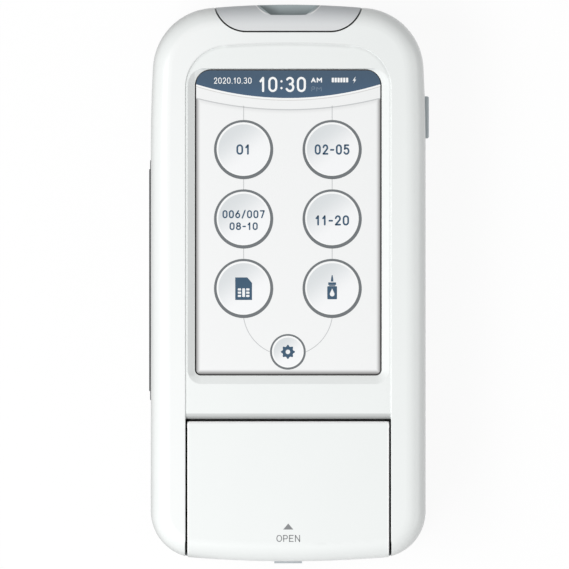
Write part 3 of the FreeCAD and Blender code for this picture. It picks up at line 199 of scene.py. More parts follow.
class Finish(Tree):
    """A material in the making: its Principled shader and the nodes that feed it."""

    def __init__(self, name, constants):
        self.name = name
        self.material = bpy.data.materials.new(name)
        self.material.use_nodes = True
        super().__init__(self.material.node_tree)
        self.shader = next(n for n in self.tree.nodes if n.type == "BSDF_PRINCIPLED")
        for socket, value in constants.items():
            self.shader.inputs[socket].default_value = value

    def surface(self, socket, value):
        """Feeds one of the shader's own sockets."""
        self.feed(self.shader.inputs[socket], value)

    def place(self):
        """Where a point lies on the piece."""
        return self.node("ShaderNodeTexCoord", output="Object")

    def along(self, axis):
        """One coordinate of the point, in millimetres."""
        return self.node("ShaderNodeSeparateXYZ", values={0: self.place()}, output=axis) * (1 / MM)

    def stretched(self, x, y, z):
        """The place with each axis multiplied, for patterns that run one way."""
        return self.node(
            "ShaderNodeVectorMath", {"operation": "MULTIPLY"}, {0: self.place(), 1: (x, y, z)})

    def noise(self, grain, detail=2.0, place=None):
        """Noise whose blotches are about grain millimetres across, from 0 to 1."""
        return self.node(
            "ShaderNodeTexNoise", {"noise_dimensions": "3D"},
            {"Vector": place or self.place(), "Scale": 1 / (grain * MM), "Detail": detail})

    def step(self, value, low, high):
        """0 below low, 1 above high and smooth between them."""
        return self.node(
            "ShaderNodeMapRange", {"interpolation_type": "SMOOTHSTEP"},
            {"Value": value, "From Min": low, "From Max": high})

    def within(self, value, low, high, rise, fall=None):
        """1 from low to high. It rises to that just below low and falls just above high."""
        return self.step(value, low - rise, low) * (
            1 - self.step(value, high, high + (fall or rise)))

    def mix(self, mask, first, second):
        """The first colour where the mask is 0 and the second where it is 1."""
        return self.node(
            "ShaderNodeMix", {"data_type": "RGBA"}, {0: mask, 6: first, 7: second}, output=2)

    def tones(self, mask, colour, dark, light):
        """A colour times dark where the mask is 0 and times light where it is 1."""
        return self.mix(mask, shaded(colour, dark), shaded(colour, light))

    def bump(self, height, depth):
        """Raises the surface by the height, 0 to 1, times a depth in millimetres."""
        self.surface("Normal", self.node(
            "ShaderNodeBump", values={"Height": height, "Distance": depth * MM,
                                      "Strength": 1.0}))


# %% [markdown]
# ## The plastics
#
# Each moulded piece left a steel tool whose face was spark-eroded, so its skin has a very fine
# even grain. Its tone drifts a little where the plastic cooled at different speeds, and handling
# leaves faint dull rubs. Three layers of noise, at about 0.3 mm, 12 mm and 4 mm, give the three.
# One function makes all the plastics, because only their colour and gloss differ.

# %% Moulded plastic
grain_size, rub_size, cloud_size = 0.3, 4.0, 12.0
grain_relief, grain_spread, rub_dulling = 0.004, 0.10, 0.05


def moulded(name, colour, roughness, drift=0.012):
    """A moulded plastic skin: fine grain, slow drift of tone and faint rubs."""
    finish = Finish(name, {"IOR": 1.49})
    pores = finish.noise(grain_size, detail=3.0)
    cloud = finish.noise(cloud_size, detail=3.0)
    rubs = finish.step(finish.noise(rub_size, detail=6.0), 0.56, 0.74)
    finish.surface("Base Color", finish.tones(cloud, colour, 1 - drift, 1 + drift))
    finish.surface("Roughness", pores.about(roughness, grain_spread) + rubs * rub_dulling)
    finish.bump(pores, grain_relief)
    return finish


grey_plastic = moulded("grey_plastic", tint(186, 192, 196), 0.42)
button_plastic = moulded("button_plastic", tint(204, 214, 218), 0.42)
tray_plastic = moulded("tray_plastic", tint(196, 200, 203), 0.45)
black_plastic = moulded("black_plastic", tint(30, 31, 33), 0.50, drift=0.10)
print("plastics made")

# %% [markdown]
# The strip channel in the tray is a step darker than the tray, so that a user sees where the strip
# lies. It's a groove 1 mm deep, and the paint finds it by its width and its depth.

# %% Strip channel
tray_low, tray_high = box_mm("bay_tray")
channel_half_width, channel_depth = 4.0, 1.0
channel_shade = 0.38


def darken_channel(finish):
    """Lays a darker tone over the finish inside the strip channel."""
    body = Wire(finish, finish.shader.inputs["Base Color"].links[0].from_socket)
    across, height = finish.along("X").size(), finish.along("Z")
    channel = ((1 - finish.step(across, channel_half_width, channel_half_width + 0.05))
               * finish.within(height, tray_high.z - channel_depth, tray_high.z - 0.15, rise=0.1))
    finish.surface("Base Color", finish.mix(channel * channel_shade, body, BLACK))


darken_channel(tray_plastic)
print("strip channel tinted, tray top at", round(tray_high.z, 2))

# %% [markdown]
# The white shells get the same kind of skin, with a little more gloss. The front and the rear
# shell meet at a parting line, which shows as a hair-thin shadow all round the case. The two
# solids touch there, so the line is painted and pressed in by the height of the point: a narrow
# band on both shells.

# %% White skin and its parting line
white = tint(242, 245, 244)
white_drift = 0.008
parting_height = face_low.z
parting_half_width = 0.11
parting_fade = 0.05
parting_depth = 0.05
line_grey = tint(120, 124, 128)


def from_parting(finish):
    """How far a point lies above or below the parting line."""
    return (finish.along("Z") - parting_height).size()


def parting_line(finish):
    """1 in the groove between the two shells."""
    return 1 - finish.step(
        from_parting(finish), parting_half_width - parting_fade, parting_half_width)


def white_skin(name):
    """A new finish with the grain and the gloss of the shells, pressed in along the line."""
    finish = Finish(name, {"IOR": 1.5, "Coat Roughness": 0.08, "Coat Weight": 0.15})
    pores = finish.noise(0.35, detail=2.0)
    rubs = finish.step(finish.noise(5.0, detail=6.0), 0.58, 0.76)
    line = parting_line(finish)
    finish.surface("Roughness", pores.about(0.33, 0.06) + rubs * 0.04 + line * 0.2)
    finish.bump(pores * 0.05 - line, parting_depth)
    return finish


def white_tone(finish):
    """The white of the shells, which drifts a little."""
    cloud = finish.noise(16.0, detail=3.0)
    return finish.tones(cloud, white, 1 - white_drift, 1 + white_drift)


# %% [markdown]
# The painted shades of the case are masks from 0 to 1, one for each form, and the darkest of them
# wins at each point. The sides near the parting line get a painted shade, greyer than the face and
# more so on the left, which draws the outline of the case. So does the rolled lip over the door,
# deepening towards the gap. Lengths below are from the middle of the case, and "down" runs towards
# the door's end.

# %% Painted shade of the sides
side_start, side_end = 11.5, 17.4
turn_start, turn_end = 15.0, 36.0
right_shade, left_shade = 0.06, 0.50


def painted_side_shade(finish):
    """Painted shade: darkest at the parting line and gone where the side rolls into the face."""
    on_left = finish.step(-1 * finish.along("X"), turn_start, turn_end)
    return (1 - finish.step(from_parting(finish), side_start, side_end)) * (
        right_shade + on_left * (left_shade - right_shade))


# %% Painted shade of the lip over the door
lip_start, lip_end, lip_half = 36.8, 39.0, 28.9
lip_foot = 27.0
deepest_lip = 0.58


def over_bay(finish):
    """1 across the width of the door and 0 on the rails beside it."""
    return 1 - finish.step(finish.along("X").size(), lip_half, lip_half + 0.2)


def painted_lip_shade(finish):
    """Painted shade that starts quickly at the top of the roll and deepens down to the gap."""
    down = -1 * finish.along("Y")
    quick = finish.step(down, lip_start, lip_start + 0.4)
    slow = finish.step(down, lip_start + 0.3, lip_end - 0.5)
    ended = finish.step(down, lip_end, lip_end + 0.2)
    on_roll = finish.step(finish.along("Z"), lip_foot, lip_foot + 1.0)
    return (quick + slow) * 0.5 * (1 - ended) * over_bay(finish) * on_roll * deepest_lip


# %% [markdown]
# The walls beside the door and the foot of the lip are painted black, a painted shadow that makes
# the gap round the closed door a thin black line.

# %% Painted shadow on the walls of the gap
panel_half = door_high.x + 0.55
pit_width, pit_low, pit_high = 0.45, 30.8, 32.0
wall_inside, wall_outside = 0.05, 0.12
gap_shadow_strength = 0.97


def painted_gap_shadow(finish):
    """Painted shadow on the edge below the lip and on the two walls beside the door."""
    across, down, height = finish.along("X").size(), -1 * finish.along("Y"), finish.along("Z")
    pit = (finish.within(down, lip_end - pit_width, lip_end, rise=0.15, fall=0.2)
           * over_bay(finish) * (1 - finish.step(height, pit_low, pit_high)))
    walls = (finish.within(across, panel_half - wall_inside, panel_half + wall_outside,
                           rise=0.05, fall=0.04)
             * finish.step(down, lip_end, lip_end + 0.1)
             * finish.within(height, parting_height + 0.4, face_high.z - 0.5, rise=0.1, fall=0.3))
    return pit.at_least(walls) * gap_shadow_strength


# %% [markdown]
# A soft painted shade follows the arch where the face drops to the sunk panel: a long arc and two
# round shoulders. The paint measures how far each point lies from those circles. The slope at the
# left of the window gets a painted shade too, as the side that faces away from the light.

# %% Painted shade along the arch of the sunk panel
panel_depth, panel_inset = 0.45, 11.1
arch_radius, shoulder_radius = 252.0, 12.0
arch_y = face_high.y - panel_inset - arch_radius
shoulder_x = panel_half - shoulder_radius
shoulder_y = arch_y + math.sqrt((arch_radius - shoulder_radius) ** 2 - shoulder_x ** 2)
arch_shade, shoulder_shade = 0.14, 0.10


def painted_arch_shade(finish):
    """A soft painted shade along the arch of the sunk panel and round its shoulders."""
    def shade_band(off):
        return finish.within(off, -0.3, 0.1, rise=0.7, fall=0.4)

    across, up = finish.along("X").size(), finish.along("Y")
    arch = shade_band(across.beyond(up - arch_y, arch_radius))
    shoulder = shade_band((across - shoulder_x).beyond(up - shoulder_y, shoulder_radius))
    on_shoulder = finish.step(across, shoulder_x - 1.0, shoulder_x + 3.0)
    above = finish.step(up, shoulder_y + 1.0, shoulder_y + 6.0)
    arch = arch * (1 - on_shoulder) * finish.step(up, shoulder_y, shoulder_y + 1.0)
    return (arch * arch_shade).at_least(shoulder * on_shoulder * above * shoulder_shade)


# %% Painted shade on the slope beside the window
slope_inner, slope_shade = 26.8, 0.14
panel_height = face_high.z - panel_depth


def painted_slope_shade(finish):
    """Painted shade on the left slope from the panel down to the glass."""
    left, up, height = -1 * finish.along("X"), finish.along("Y"), finish.along("Z")
    return (finish.within(left, slope_inner, panel_half, rise=0.6, fall=0.1)
            * finish.within(height, glass_high.z + 0.2, panel_height - 0.15, rise=0.1)
            * finish.within(up, glass_low.y, glass_high.y, rise=1.0) * slope_shade)


# %% [markdown]
# The case puts these together. The top of its left rail gets a painted highlight, a little whiter,
# and the parting line goes over everything. The door takes the painted shade of the sides and a
# painted highlight on its sharp edges, which makes them white.

# %% Case and door
highlight_to, highlight_from, rail_highlight = -40.0, 8.0, 0.35
edge_highlight_start, edge_highlight_end = 0.55, 0.35
edge_highlight_height = 30.5


def case_shell_finish():
    """Both shells: white, with the deepest painted shade at each point and the line over it."""
    finish = white_skin("white_shell")
    # painted highlight: the top of the left rail is whiter
    on_left = 1 - finish.step(finish.along("X"), highlight_to, highlight_from)
    on_rail = finish.step(finish.along("Z"), face_high.z - 0.4, face_high.z - 0.1)
    skin = finish.mix(on_left * on_rail * rail_highlight, white_tone(finish), WHITE)
    shade = painted_side_shade(finish)
    for shade_of in (painted_lip_shade, painted_gap_shadow, painted_arch_shade, painted_slope_shade):
        shade = shade.at_least(shade_of(finish))
    toned = finish.mix(shade, skin, BLACK)
    finish.surface("Base Color", finish.mix(parting_line(finish), toned, line_grey))
    return finish


def door_shell_finish():
    """The door, with a painted highlight that makes its sharp edges a little whiter than its face.
    """
    finish = white_skin("door_shell")
    sides, top = (
        finish.step(value, edge - edge_highlight_start, edge - edge_highlight_end)
        for value, edge in ((finish.along("X").size(), door_high.x),
                            (finish.along("Y"), door_high.y)))
    edge_highlight = sides.at_least(top) * finish.step(
        finish.along("Z"), edge_highlight_height, edge_highlight_height + 0.5)
    toned = finish.mix(painted_side_shade(finish), white_tone(finish), BLACK)
    finish.surface("Base Color", finish.mix(edge_highlight, toned, WHITE))
    return finish


white_shell = case_shell_finish()
door_shell = door_shell_finish()
print("white shell made, parting line at", round(parting_height, 2))

# %% [markdown]
# The grey socket cover is one plastic with painted light and shade. Its face is pale and gets a
# painted shade towards the top end. The finger scoop gets a painted shade a full step darker, as a
# hollow in shadow, inside a rim that sweeps up at both sides and gets a painted highlight there.

# %% Socket cover
scoop_edge = 75.95
scoop_blend = 0.15
scoop_mouth_half = 9.0
scoop_rise = 2.9
rim_width = 0.6
rim_highlight_strength = 0.7
cover_face_low = 72.0
cover_face_high = 79.0


def socket_cover_finish():
    """Face and painted scoop shade meet on a curve: flat across the middle, steep towards both
    sides.
    """
    finish = Finish("grey_soft", {"IOR": 1.49})
    pores = finish.noise(0.22, detail=3.0)
    height = finish.along("Y")
    # painted shade: the face darkens towards the top end
    face = finish.mix(finish.step(height, cover_face_low, cover_face_high),
                      tint(223, 225, 226), tint(212, 216, 219))
    share = finish.along("X").size() * (1 / scoop_mouth_half)
    squared = share * share
    over = height - squared * squared * scoop_rise
    # painted shade inside the finger scoop
    scoop_shade = finish.step(over, scoop_edge - scoop_blend, scoop_edge + scoop_blend)
    # painted highlight along the rim at both sides of the scoop
    rim_highlight = (finish.step(over, scoop_edge - rim_width, scoop_edge - rim_width + 0.2)
              * finish.step(share, 0.6, 0.8) * rim_highlight_strength)
    skin = finish.mix(rim_highlight, face, WHITE)
    skin = finish.mix(scoop_shade, skin, tint(172, 183, 185))
    finish.surface("Base Color", finish.mix(pores * 0.04, skin, BLACK))
    finish.surface("Roughness", pores.about(0.50, grain_spread))
    finish.bump(pores, grain_relief)
    return finish


grey_soft = socket_cover_finish()
print("socket cover made")

# %% [markdown]
# ## Rubber
#
# The feet and the grip are soft and dull. Rubber scatters light at its skin, which the sheen of
# the shader gives, and dust sits in its grain as paler specks.

# %% Rubber
dust_size, dust_share, dust_lightness = 1.6, 0.35, 1.6
rubber_relief = 0.02


def rubber(name, colour, grain):
    """A dull, grainy skin with specks of paler dust."""
    finish = Finish(name, {"IOR": 1.45, "Sheen Weight": 0.25, "Sheen Roughness": 0.5})
    pores = finish.noise(grain, detail=4.0)
    dust = finish.step(finish.noise(dust_size, detail=8.0), 0.60, 0.82)
    body = finish.tones(pores, colour, 0.88, 1.10)
    finish.surface("Base Color", finish.mix(
        dust * dust_share, body, shaded(colour, dust_lightness)))
    finish.surface("Roughness", pores.about(0.70, 0.2))
    finish.bump(pores, rubber_relief)
    return finish


grey_rubber = rubber("grey_rubber", tint(112, 115, 117), 0.25)
dark_rubber = rubber("dark_rubber", tint(58, 61, 63), 0.30)
black_foam = rubber("black_foam", tint(14, 14, 14), 0.18)
gasket_rubber = rubber("gasket_rubber", tint(88, 86, 86), 0.18)
print("rubbers made")

# %% [markdown]
# ## Metals
#
# Turned, pressed and plated pieces differ in colour and in which way their fine lines run. Noise
# that is stretched many times along one axis looks like brushing, and the same lines make the
# roughness uneven, which is what makes metal look like metal.

# %% Metals
line_length, line_spread, line_relief = 1.2, 0.25, 0.003
stain_size = 3.0
# how many times each axis is stretched, for lines that run one way
along_x, coarse_along_x, along_z = (1.0, 12.0, 12.0), (1.0, 6.0, 6.0), (6.0, 6.0, 1.0)


def metal(name, colour, roughness, lines=along_x):
    """Bare metal with fine lines and a slight stain."""
    finish = Finish(name, {"Metallic": 1.0})
    brushing = finish.noise(line_length, detail=5.0, place=finish.stretched(*lines))
    stain = finish.noise(stain_size, detail=3.0)
    finish.surface("Base Color", finish.tones(stain, colour, 0.88, 1.06))
    finish.surface("Roughness", brushing.about(roughness, line_spread))
    finish.bump(brushing, line_relief)
    return finish


steel = metal("steel", tint(196, 198, 200), 0.30, along_z)
bright_metal = metal("bright_metal", tint(212, 214, 214), 0.24)
dark_steel = metal("dark_steel", tint(38, 38, 40), 0.45, coarse_along_x)
gold_contact = metal("gold_contact", tint(232, 196, 120), 0.22)
print("metals made")

# %% [markdown]
# ## Board, films and glass
#
# The board is green resist over copper: the resist is glossy, and the copper tracks below it show
# as slightly paler, raised lines. A Brick texture on its place gives runs of tracks that change
# direction at the board's own scale, which is enough for a board that is seen only through gaps.

# %% Circuit board
track_run, track_pitch, track_gap = 6.0, 1.1, 0.18
track_relief = 0.03


def circuit_board_finish():
    """Green resist, paler and raised where a track runs below it."""
    finish = Finish("circuit_board", {"IOR": 1.52, "Coat Weight": 0.4, "Coat Roughness": 0.15})
    tracks = finish.node(
        "ShaderNodeTexBrick", {"offset": 0.37, "offset_frequency": 3},
        {"Vector": finish.place(), "Color1": BLACK, "Color2": grey(0.3), "Mortar": WHITE,
         "Scale": 1.0, "Mortar Size": track_gap * MM, "Mortar Smooth": 0.2,
         "Brick Width": track_run * MM, "Row Height": track_pitch * MM}, output="Color")
    weave = finish.noise(0.5, detail=2.0)
    resist = finish.mix(weave, tint(22, 84, 58), tint(28, 96, 66))
    finish.surface("Base Color", finish.mix(tracks, resist, tint(52, 132, 92)))
    finish.surface("Roughness", weave.about(0.32, 0.1))
    finish.bump(tracks, track_relief)
    return finish


circuit_board = circuit_board_finish()
print("circuit board made")

# %% [markdown]
# The battery's wrap, the display's ribbon and the display itself are smooth films. The window of
# the optics is clear glass, and the light source below it is clear resin, both a little hazy.

# %% Films
ripple_size, ripple_relief = 2.5, 0.06


def film(name, colour, roughness):
    """A thin printed film: nearly flat, with the long soft ripples of a wrapped sheet."""
    finish = Finish(name, {"IOR": 1.5, "Coat Weight": 0.3, "Coat Roughness": 0.1})
    ripple = finish.noise(ripple_size, detail=2.0, place=finish.stretched(1.0, 0.2, 1.0))
    finish.surface("Base Color", finish.tones(ripple, colour, 0.93, 1.05))
    finish.surface("Roughness", ripple.about(roughness, 0.12))
    finish.bump(ripple, ripple_relief)
    return finish


battery_wrap = film("battery_wrap", tint(70, 92, 128), 0.30)
ribbon_film = film("ribbon_film", tint(176, 112, 48), 0.35)
display = film("display", tint(46, 50, 56), 0.20)
print("films made")

# %% Clear pieces


def clear(name, colour, roughness):
    """A clear piece with a faint haze."""
    finish = Finish(name, {"IOR": 1.5, "Transmission Weight": 0.9})
    haze = finish.noise(0.8, detail=4.0)
    finish.surface("Base Color", finish.tones(haze, colour, 0.97, 1.0))
    finish.surface("Roughness", haze.about(roughness, 0.04))
    return finish


clear_glass = clear("clear_glass", tint(232, 240, 244), 0.05)
clear_resin = clear("clear_resin", tint(246, 240, 226), 0.12)
print("clear finishes made")

# %% [markdown]
# ## The lit screen
#
# A screen gives light of its own and also takes room light on its cover glass. So each colour it
# shows is shared between the shader's base colour and its emission, and a coat gives the glass
# over it. Lit by the lamps the two halves add up to the colour itself. The cells of such a display
# are 0.108 mm apart, and a faint lattice of that pitch keeps the colour from being flat.

# %% What a lit colour is made of
cell_pitch = 0.108
cell_contrast = 0.03
lit_share = 0.40
glass_roughness = 0.12


def lattice(finish):
    """The display's cells: a little darker between the columns and the rows."""
    waves = [
        finish.node("ShaderNodeMath", {"operation": "SINE"},
                    {0: finish.along(axis) * (2 * math.pi / cell_pitch)})
        for axis in ("X", "Y")]
    return (waves[0] + waves[1]) * 0.25 + 0.5


def lit(name, colour_of):
    """A colour of the lit screen; colour_of draws it on a finish."""
    finish = Finish(name, {
        "IOR": 1.35, "Emission Strength": 1.0, "Coat Weight": 0.2, "Coat Roughness": 0.03})
    cells = lattice(finish)
    colour = colour_of(finish)
    between = finish.mix(cell_contrast, colour, BLACK)
    picture = finish.mix(cells, between, colour)
    finish.surface("Emission Color", finish.mix(lit_share, BLACK, picture))
    finish.surface("Base Color", finish.mix(1 - lit_share, BLACK, picture))
    finish.surface("Roughness", glass_roughness + cells * 0.04)
    return finish


def plain(red, green, blue):
    """A lit colour that is the same all over its piece."""
    return lambda finish: tint(red, green, blue)


# %% [markdown]
# The glass is the page that everything else is drawn on. A band hangs across its top in an arc.
# Near its two long edges, at its foot and under the band the page is darker, because the frame of
# the window keeps light off it, and that shade fades in about a millimetre.

# %% The page
glass_half = glass_high.x
edge_shade = 1.35
foot_shade = 1.5
band_side_height = 52.55
band_middle_height = 49.30
band_shadow = 1.6
band_shade = 0.16


def sag_radius(side_height, middle_height):
    """The radius of an arc that hangs across the glass."""
    sag = side_height - middle_height
    return (glass_half ** 2 + sag ** 2) / (2 * sag)


def below_band(finish):
    """How far a point lies under the arc of the band, in millimetres."""
    radius = sag_radius(band_side_height, band_middle_height)
    apart = finish.node("ShaderNodeVectorMath", {"operation": "DISTANCE"}, {
        0: finish.stretched(1.0, 1.0, 0.0),
        1: (0.0, (band_middle_height + radius) * MM, 0.0)}, output="Value")
    return apart * (1 / MM) - radius


def page_colour(finish):
    """White, and greyer near the frame and under the band."""
    to_side = glass_half - finish.along("X").size()
    to_foot = finish.along("Y") - glass_low.y
    side = 1 - finish.step(to_side, -0.4, edge_shade)
    foot = 1 - finish.step(to_foot, -0.2, foot_shade)
    under = (1 - finish.step(below_band(finish), 0.0, band_shadow)) * band_shade
    deepest = side.at_least(foot).at_least(under)
    return finish.mix(deepest, tint(246, 247, 247), tint(124, 122, 122))


screen_page = lit("screen_glass", page_colour)
print("page made")

# %% [markdown]
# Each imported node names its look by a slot, and the finish of that name goes on it. Four nodes
# share a slot with others but have a finish of their own.

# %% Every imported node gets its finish
finish_of_slot = {finish.name: finish for finish in (
    white_shell, grey_rubber, dark_rubber, grey_plastic, grey_soft, steel, tray_plastic,
    black_plastic, gold_contact, clear_glass, clear_resin, circuit_board, screen_page, black_foam,
    display, bright_metal, battery_wrap, ribbon_film)}
finish_of_node = {"test_door": door_shell, "screen_gasket": gasket_rubber,
                  "side_button": button_plastic, "hinge_pin": dark_steel}

for node_name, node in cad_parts.items():
    for slot in node.material_slots:
        finish = finish_of_slot[slot.material.name.split(".")[0]]
        slot.material = finish_of_node.get(node_name, finish).material
print("finishes on", len(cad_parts), "nodes")

# %% [markdown]
# ## Making a piece
#
# Flat pieces start as a 2D curve: Blender fills the outline, leaves the holes open and gives it a
# thickness, which saves cutting faces by hand. The curve becomes a mesh at once, its doubled
# corners are merged, and only then is it lifted to its height, so the piece's object stays at the
# origin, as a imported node's does.

# %% Clean meshes
merge_distance = 0.00002 * MM


def tidy_mesh(mesh):
    """Merges doubled corners and turns every face outwards."""
    shape = bmesh.new()
    shape.from_mesh(mesh)
    bmesh.ops.remove_doubles(shape, verts=shape.verts, dist=merge_distance)
    bmesh.ops.recalc_face_normals(shape, faces=shape.faces)
    shape.to_mesh(mesh)
    shape.free()
    return mesh


def evaluated_mesh(holder):
    """The plain mesh of an object with its modifiers or its curve worked out."""
    bpy.context.scene.collection.objects.link(holder)
    bpy.context.view_layer.update()
    graph = bpy.context.evaluated_depsgraph_get()
    mesh = bpy.data.meshes.new_from_object(holder.evaluated_get(graph))
    bpy.data.objects.remove(holder)
    return mesh


# %% Plates from outlines


def plate_mesh(name, loops, low, high):
    """A closed plate between two heights. The loops are its outlines and holes, in mm."""
    curve = bpy.data.curves.new(name, "CURVE")
    curve.dimensions = "2D"
    curve.fill_mode = "BOTH"
    curve.extrude = (high - low) / 2 * MM
    for loop in loops:
        spline = curve.splines.new("POLY")
        spline.points.add(len(loop) - 1)
        spline.use_cyclic_u = True
        for point, (x, y) in zip(spline.points, loop):
            point.co = (x * MM, y * MM, 0.0, 1.0)
    mesh = tidy_mesh(evaluated_mesh(bpy.data.objects.new(name, curve)))
    mesh.transform(Matrix.Translation((0.0, 0.0, (low + high) / 2 * MM)))
    return mesh


def joined(*meshes):
    """Several meshes as one."""
    shape = bmesh.new()
    for mesh in meshes:
        shape.from_mesh(mesh)
    whole = bpy.data.meshes.new(meshes[0].name)
    shape.to_mesh(whole)
    shape.free()
    return whole


# %% [markdown]
# A finished mesh goes into the scene with its finish. It is parented to an empty that is named after
# one body of the imported model. Round pieces are shaded smooth, apart from edges that turn by more
# than the sharp angle.

# %% A piece in its place
sharp_angle = 40


def place_piece(name, mesh, finish, body, smooth_below=None):
    """Puts a finished mesh in the scene, on a body, with the slot that it takes its look from."""
    piece = bpy.data.objects.new(name, mesh)
    bpy.context.scene.collection.objects.link(piece)
    mesh.materials.clear()
    mesh.materials.append(finish.material)
    if smooth_below is not None:
        mesh.shade_smooth()
        mesh.set_sharp_from_angle(angle=math.radians(smooth_below))
    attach(piece, body)
    print(f"{name}: {len(mesh.polygons)} faces on {body}")
    return piece


def place_plate(name, loops, low, high, finish, body):
    """A plate between two heights as a piece."""
    return place_piece(name, plate_mesh(name, loops, low, high), finish, body)


# %% [markdown]
# An outline is a list of points in millimetres. An arc is enough to make circles, boxes with round
# corners and the curve that hangs across the glass. A ribbon makes a line of some width along any
# chain of points.

# %% Outlines


def arc(centre, radius, start, end, steps=24, half_height=None):
    """Points on an arc between two angles, in degrees. A half height makes it an ellipse's."""
    turns = [math.radians(start + (end - start) * i / steps) for i in range(steps + 1)]
    return [(centre[0] + radius * math.cos(t), centre[1] + (half_height or radius) * math.sin(t))
            for t in turns]


def circle(centre, radius, steps=96):
    """A full circle, whose last point doesn't fall on its first."""
    return arc(centre, radius, 0.0, 360.0 * (steps - 1) / steps, steps - 1)


def rounded_box(left, right, low, high, radius):
    """A rectangle with round corners."""
    corners = [(right - radius, high - radius, 0), (left + radius, high - radius, 90),
               (left + radius, low + radius, 180), (right - radius, low + radius, 270)]
    return [point for x, y, turn in corners for point in arc((x, y), radius, turn, turn + 90, 6)]


def both_edges(points, width, closed=False):
    """The left and the right edge of a line of some width along a chain of points."""
    left, right = [], []
    last = len(points) - 1
    for i, (x, y) in enumerate(points):
        before, after = max(i - 1, 0), min(i + 1, last)
        if closed:
            before, after = i - 1, (i + 1) % (last + 1)
        ahead = (Vector(points[after]) - Vector(points[before])).normalized()
        left.append((x - ahead.y * width / 2, y + ahead.x * width / 2))
        right.append((x + ahead.y * width / 2, y - ahead.x * width / 2))
    return left, right


def ribbon(points, width):
    """The outline of a line of some width along a chain of points."""
    left, right = both_edges(points, width)
    return left + right[::-1]


def sagging(side_height, middle_height):
    """An arc that hangs across the glass, from left to right."""
    radius = sag_radius(side_height, middle_height)
    reach = math.degrees(math.asin(glass_half / radius))
    return arc((0.0, middle_height + radius), radius, 270 - reach, 270 + reach, 48)


def hanging_line(side_height, middle_height, width):
    """The outline of a line of some width just under such an arc."""
    return ribbon(sagging(side_height - width / 2, middle_height - width / 2), width)


# %% [markdown]
# ## The picture on the screen
#
# The picture is built as thin plates on the glass, as inlay is, each layer a few hundredths of a
# millimetre over the last: band, rims and links, then banner and rings, then discs, then labels.
# Real edges stay sharp at any distance, which an image or a noise pattern would not give.

# %% Layers
layer_depth = 0.015


def layer(number):
    """The lower and upper height of a layer of the picture."""
    low = glass_high.z + number * layer_depth
    return low, low + layer_depth


def on_screen(name, loops, finish, number):
    """A plate in one layer of the picture. The lowest layer reaches into the glass."""
    low, high = layer(number)
    if number == 0:
        low -= layer_depth
    place_plate(name, loops, low, high, finish, "case")


# %% [markdown]
# The banner is slate blue with the clock on it. Below its white edge and a fine groove lies a pale
# band, and a grey line closes the band. All these edges are arcs that hang across the glass.

# %% Outline of the banner
glass_corner = 3.9
banner_side_height = 56.35
banner_middle_height = 52.45
white_edge = 0.50
groove_line = 0.26
band_line = 0.32


def banner_outline():
    """The top of the glass down to an arc that hangs across it."""
    top = glass_high.y
    inset = glass_half - glass_corner
    crown = (arc((inset, top - glass_corner), glass_corner, 0, 90, 16)
             + arc((-inset, top - glass_corner), glass_corner, 90, 180, 16))
    return sagging(banner_side_height, banner_middle_height) + crown


# %% Inks of the banner and the band


def banner_colour(finish):
    """Slate blue, a little greyer towards the top."""
    rise = finish.step(finish.along("Y"), banner_middle_height, glass_high.y)
    drift = finish.noise(6.0, detail=2.0)
    lower = finish.mix(drift, tint(72, 97, 123), tint(78, 102, 127))
    return finish.mix(rise, lower, tint(74, 94, 114))


banner_ink = lit("banner_ink", banner_colour)
white_ink = lit("white_ink", plain(252, 253, 253))
band_ink = lit("band_ink", plain(245, 246, 246))
groove_ink = lit("groove_ink", plain(222, 221, 219))
line_ink = lit("line_ink", plain(204, 206, 207))
print("inks of the banner made")

# %% Banner and band on the glass
banner_foot = (banner_side_height, banner_middle_height)
band_top = [height - white_edge for height in banner_foot]
band_foot = (band_side_height, band_middle_height)
on_screen("screen_banner", [banner_outline()], banner_ink, 1)
on_screen("screen_banner_edge", [hanging_line(*banner_foot, white_edge)], white_ink, 1)
on_screen("screen_band", [sagging(*band_top) + sagging(*band_foot)[::-1]], band_ink, 0)
on_screen("screen_band_groove", [hanging_line(*band_top, groove_line)], groove_ink, 1)
on_screen("screen_band_line", [hanging_line(*band_foot, band_line)], line_ink, 0)

# %% [markdown]
# The discs are buttons drawn as if they were round and lit from below right: grey at the upper
# left and nearly white at the lower right. All six are the same shape, so a Geometry Nodes tree
# puts one on each point of a small mesh. The tree keeps each point's place inside its own disc
# as an attribute, before the copies are made, and the finish reads its slope of grey from that.

# %% A shape that is made by nodes


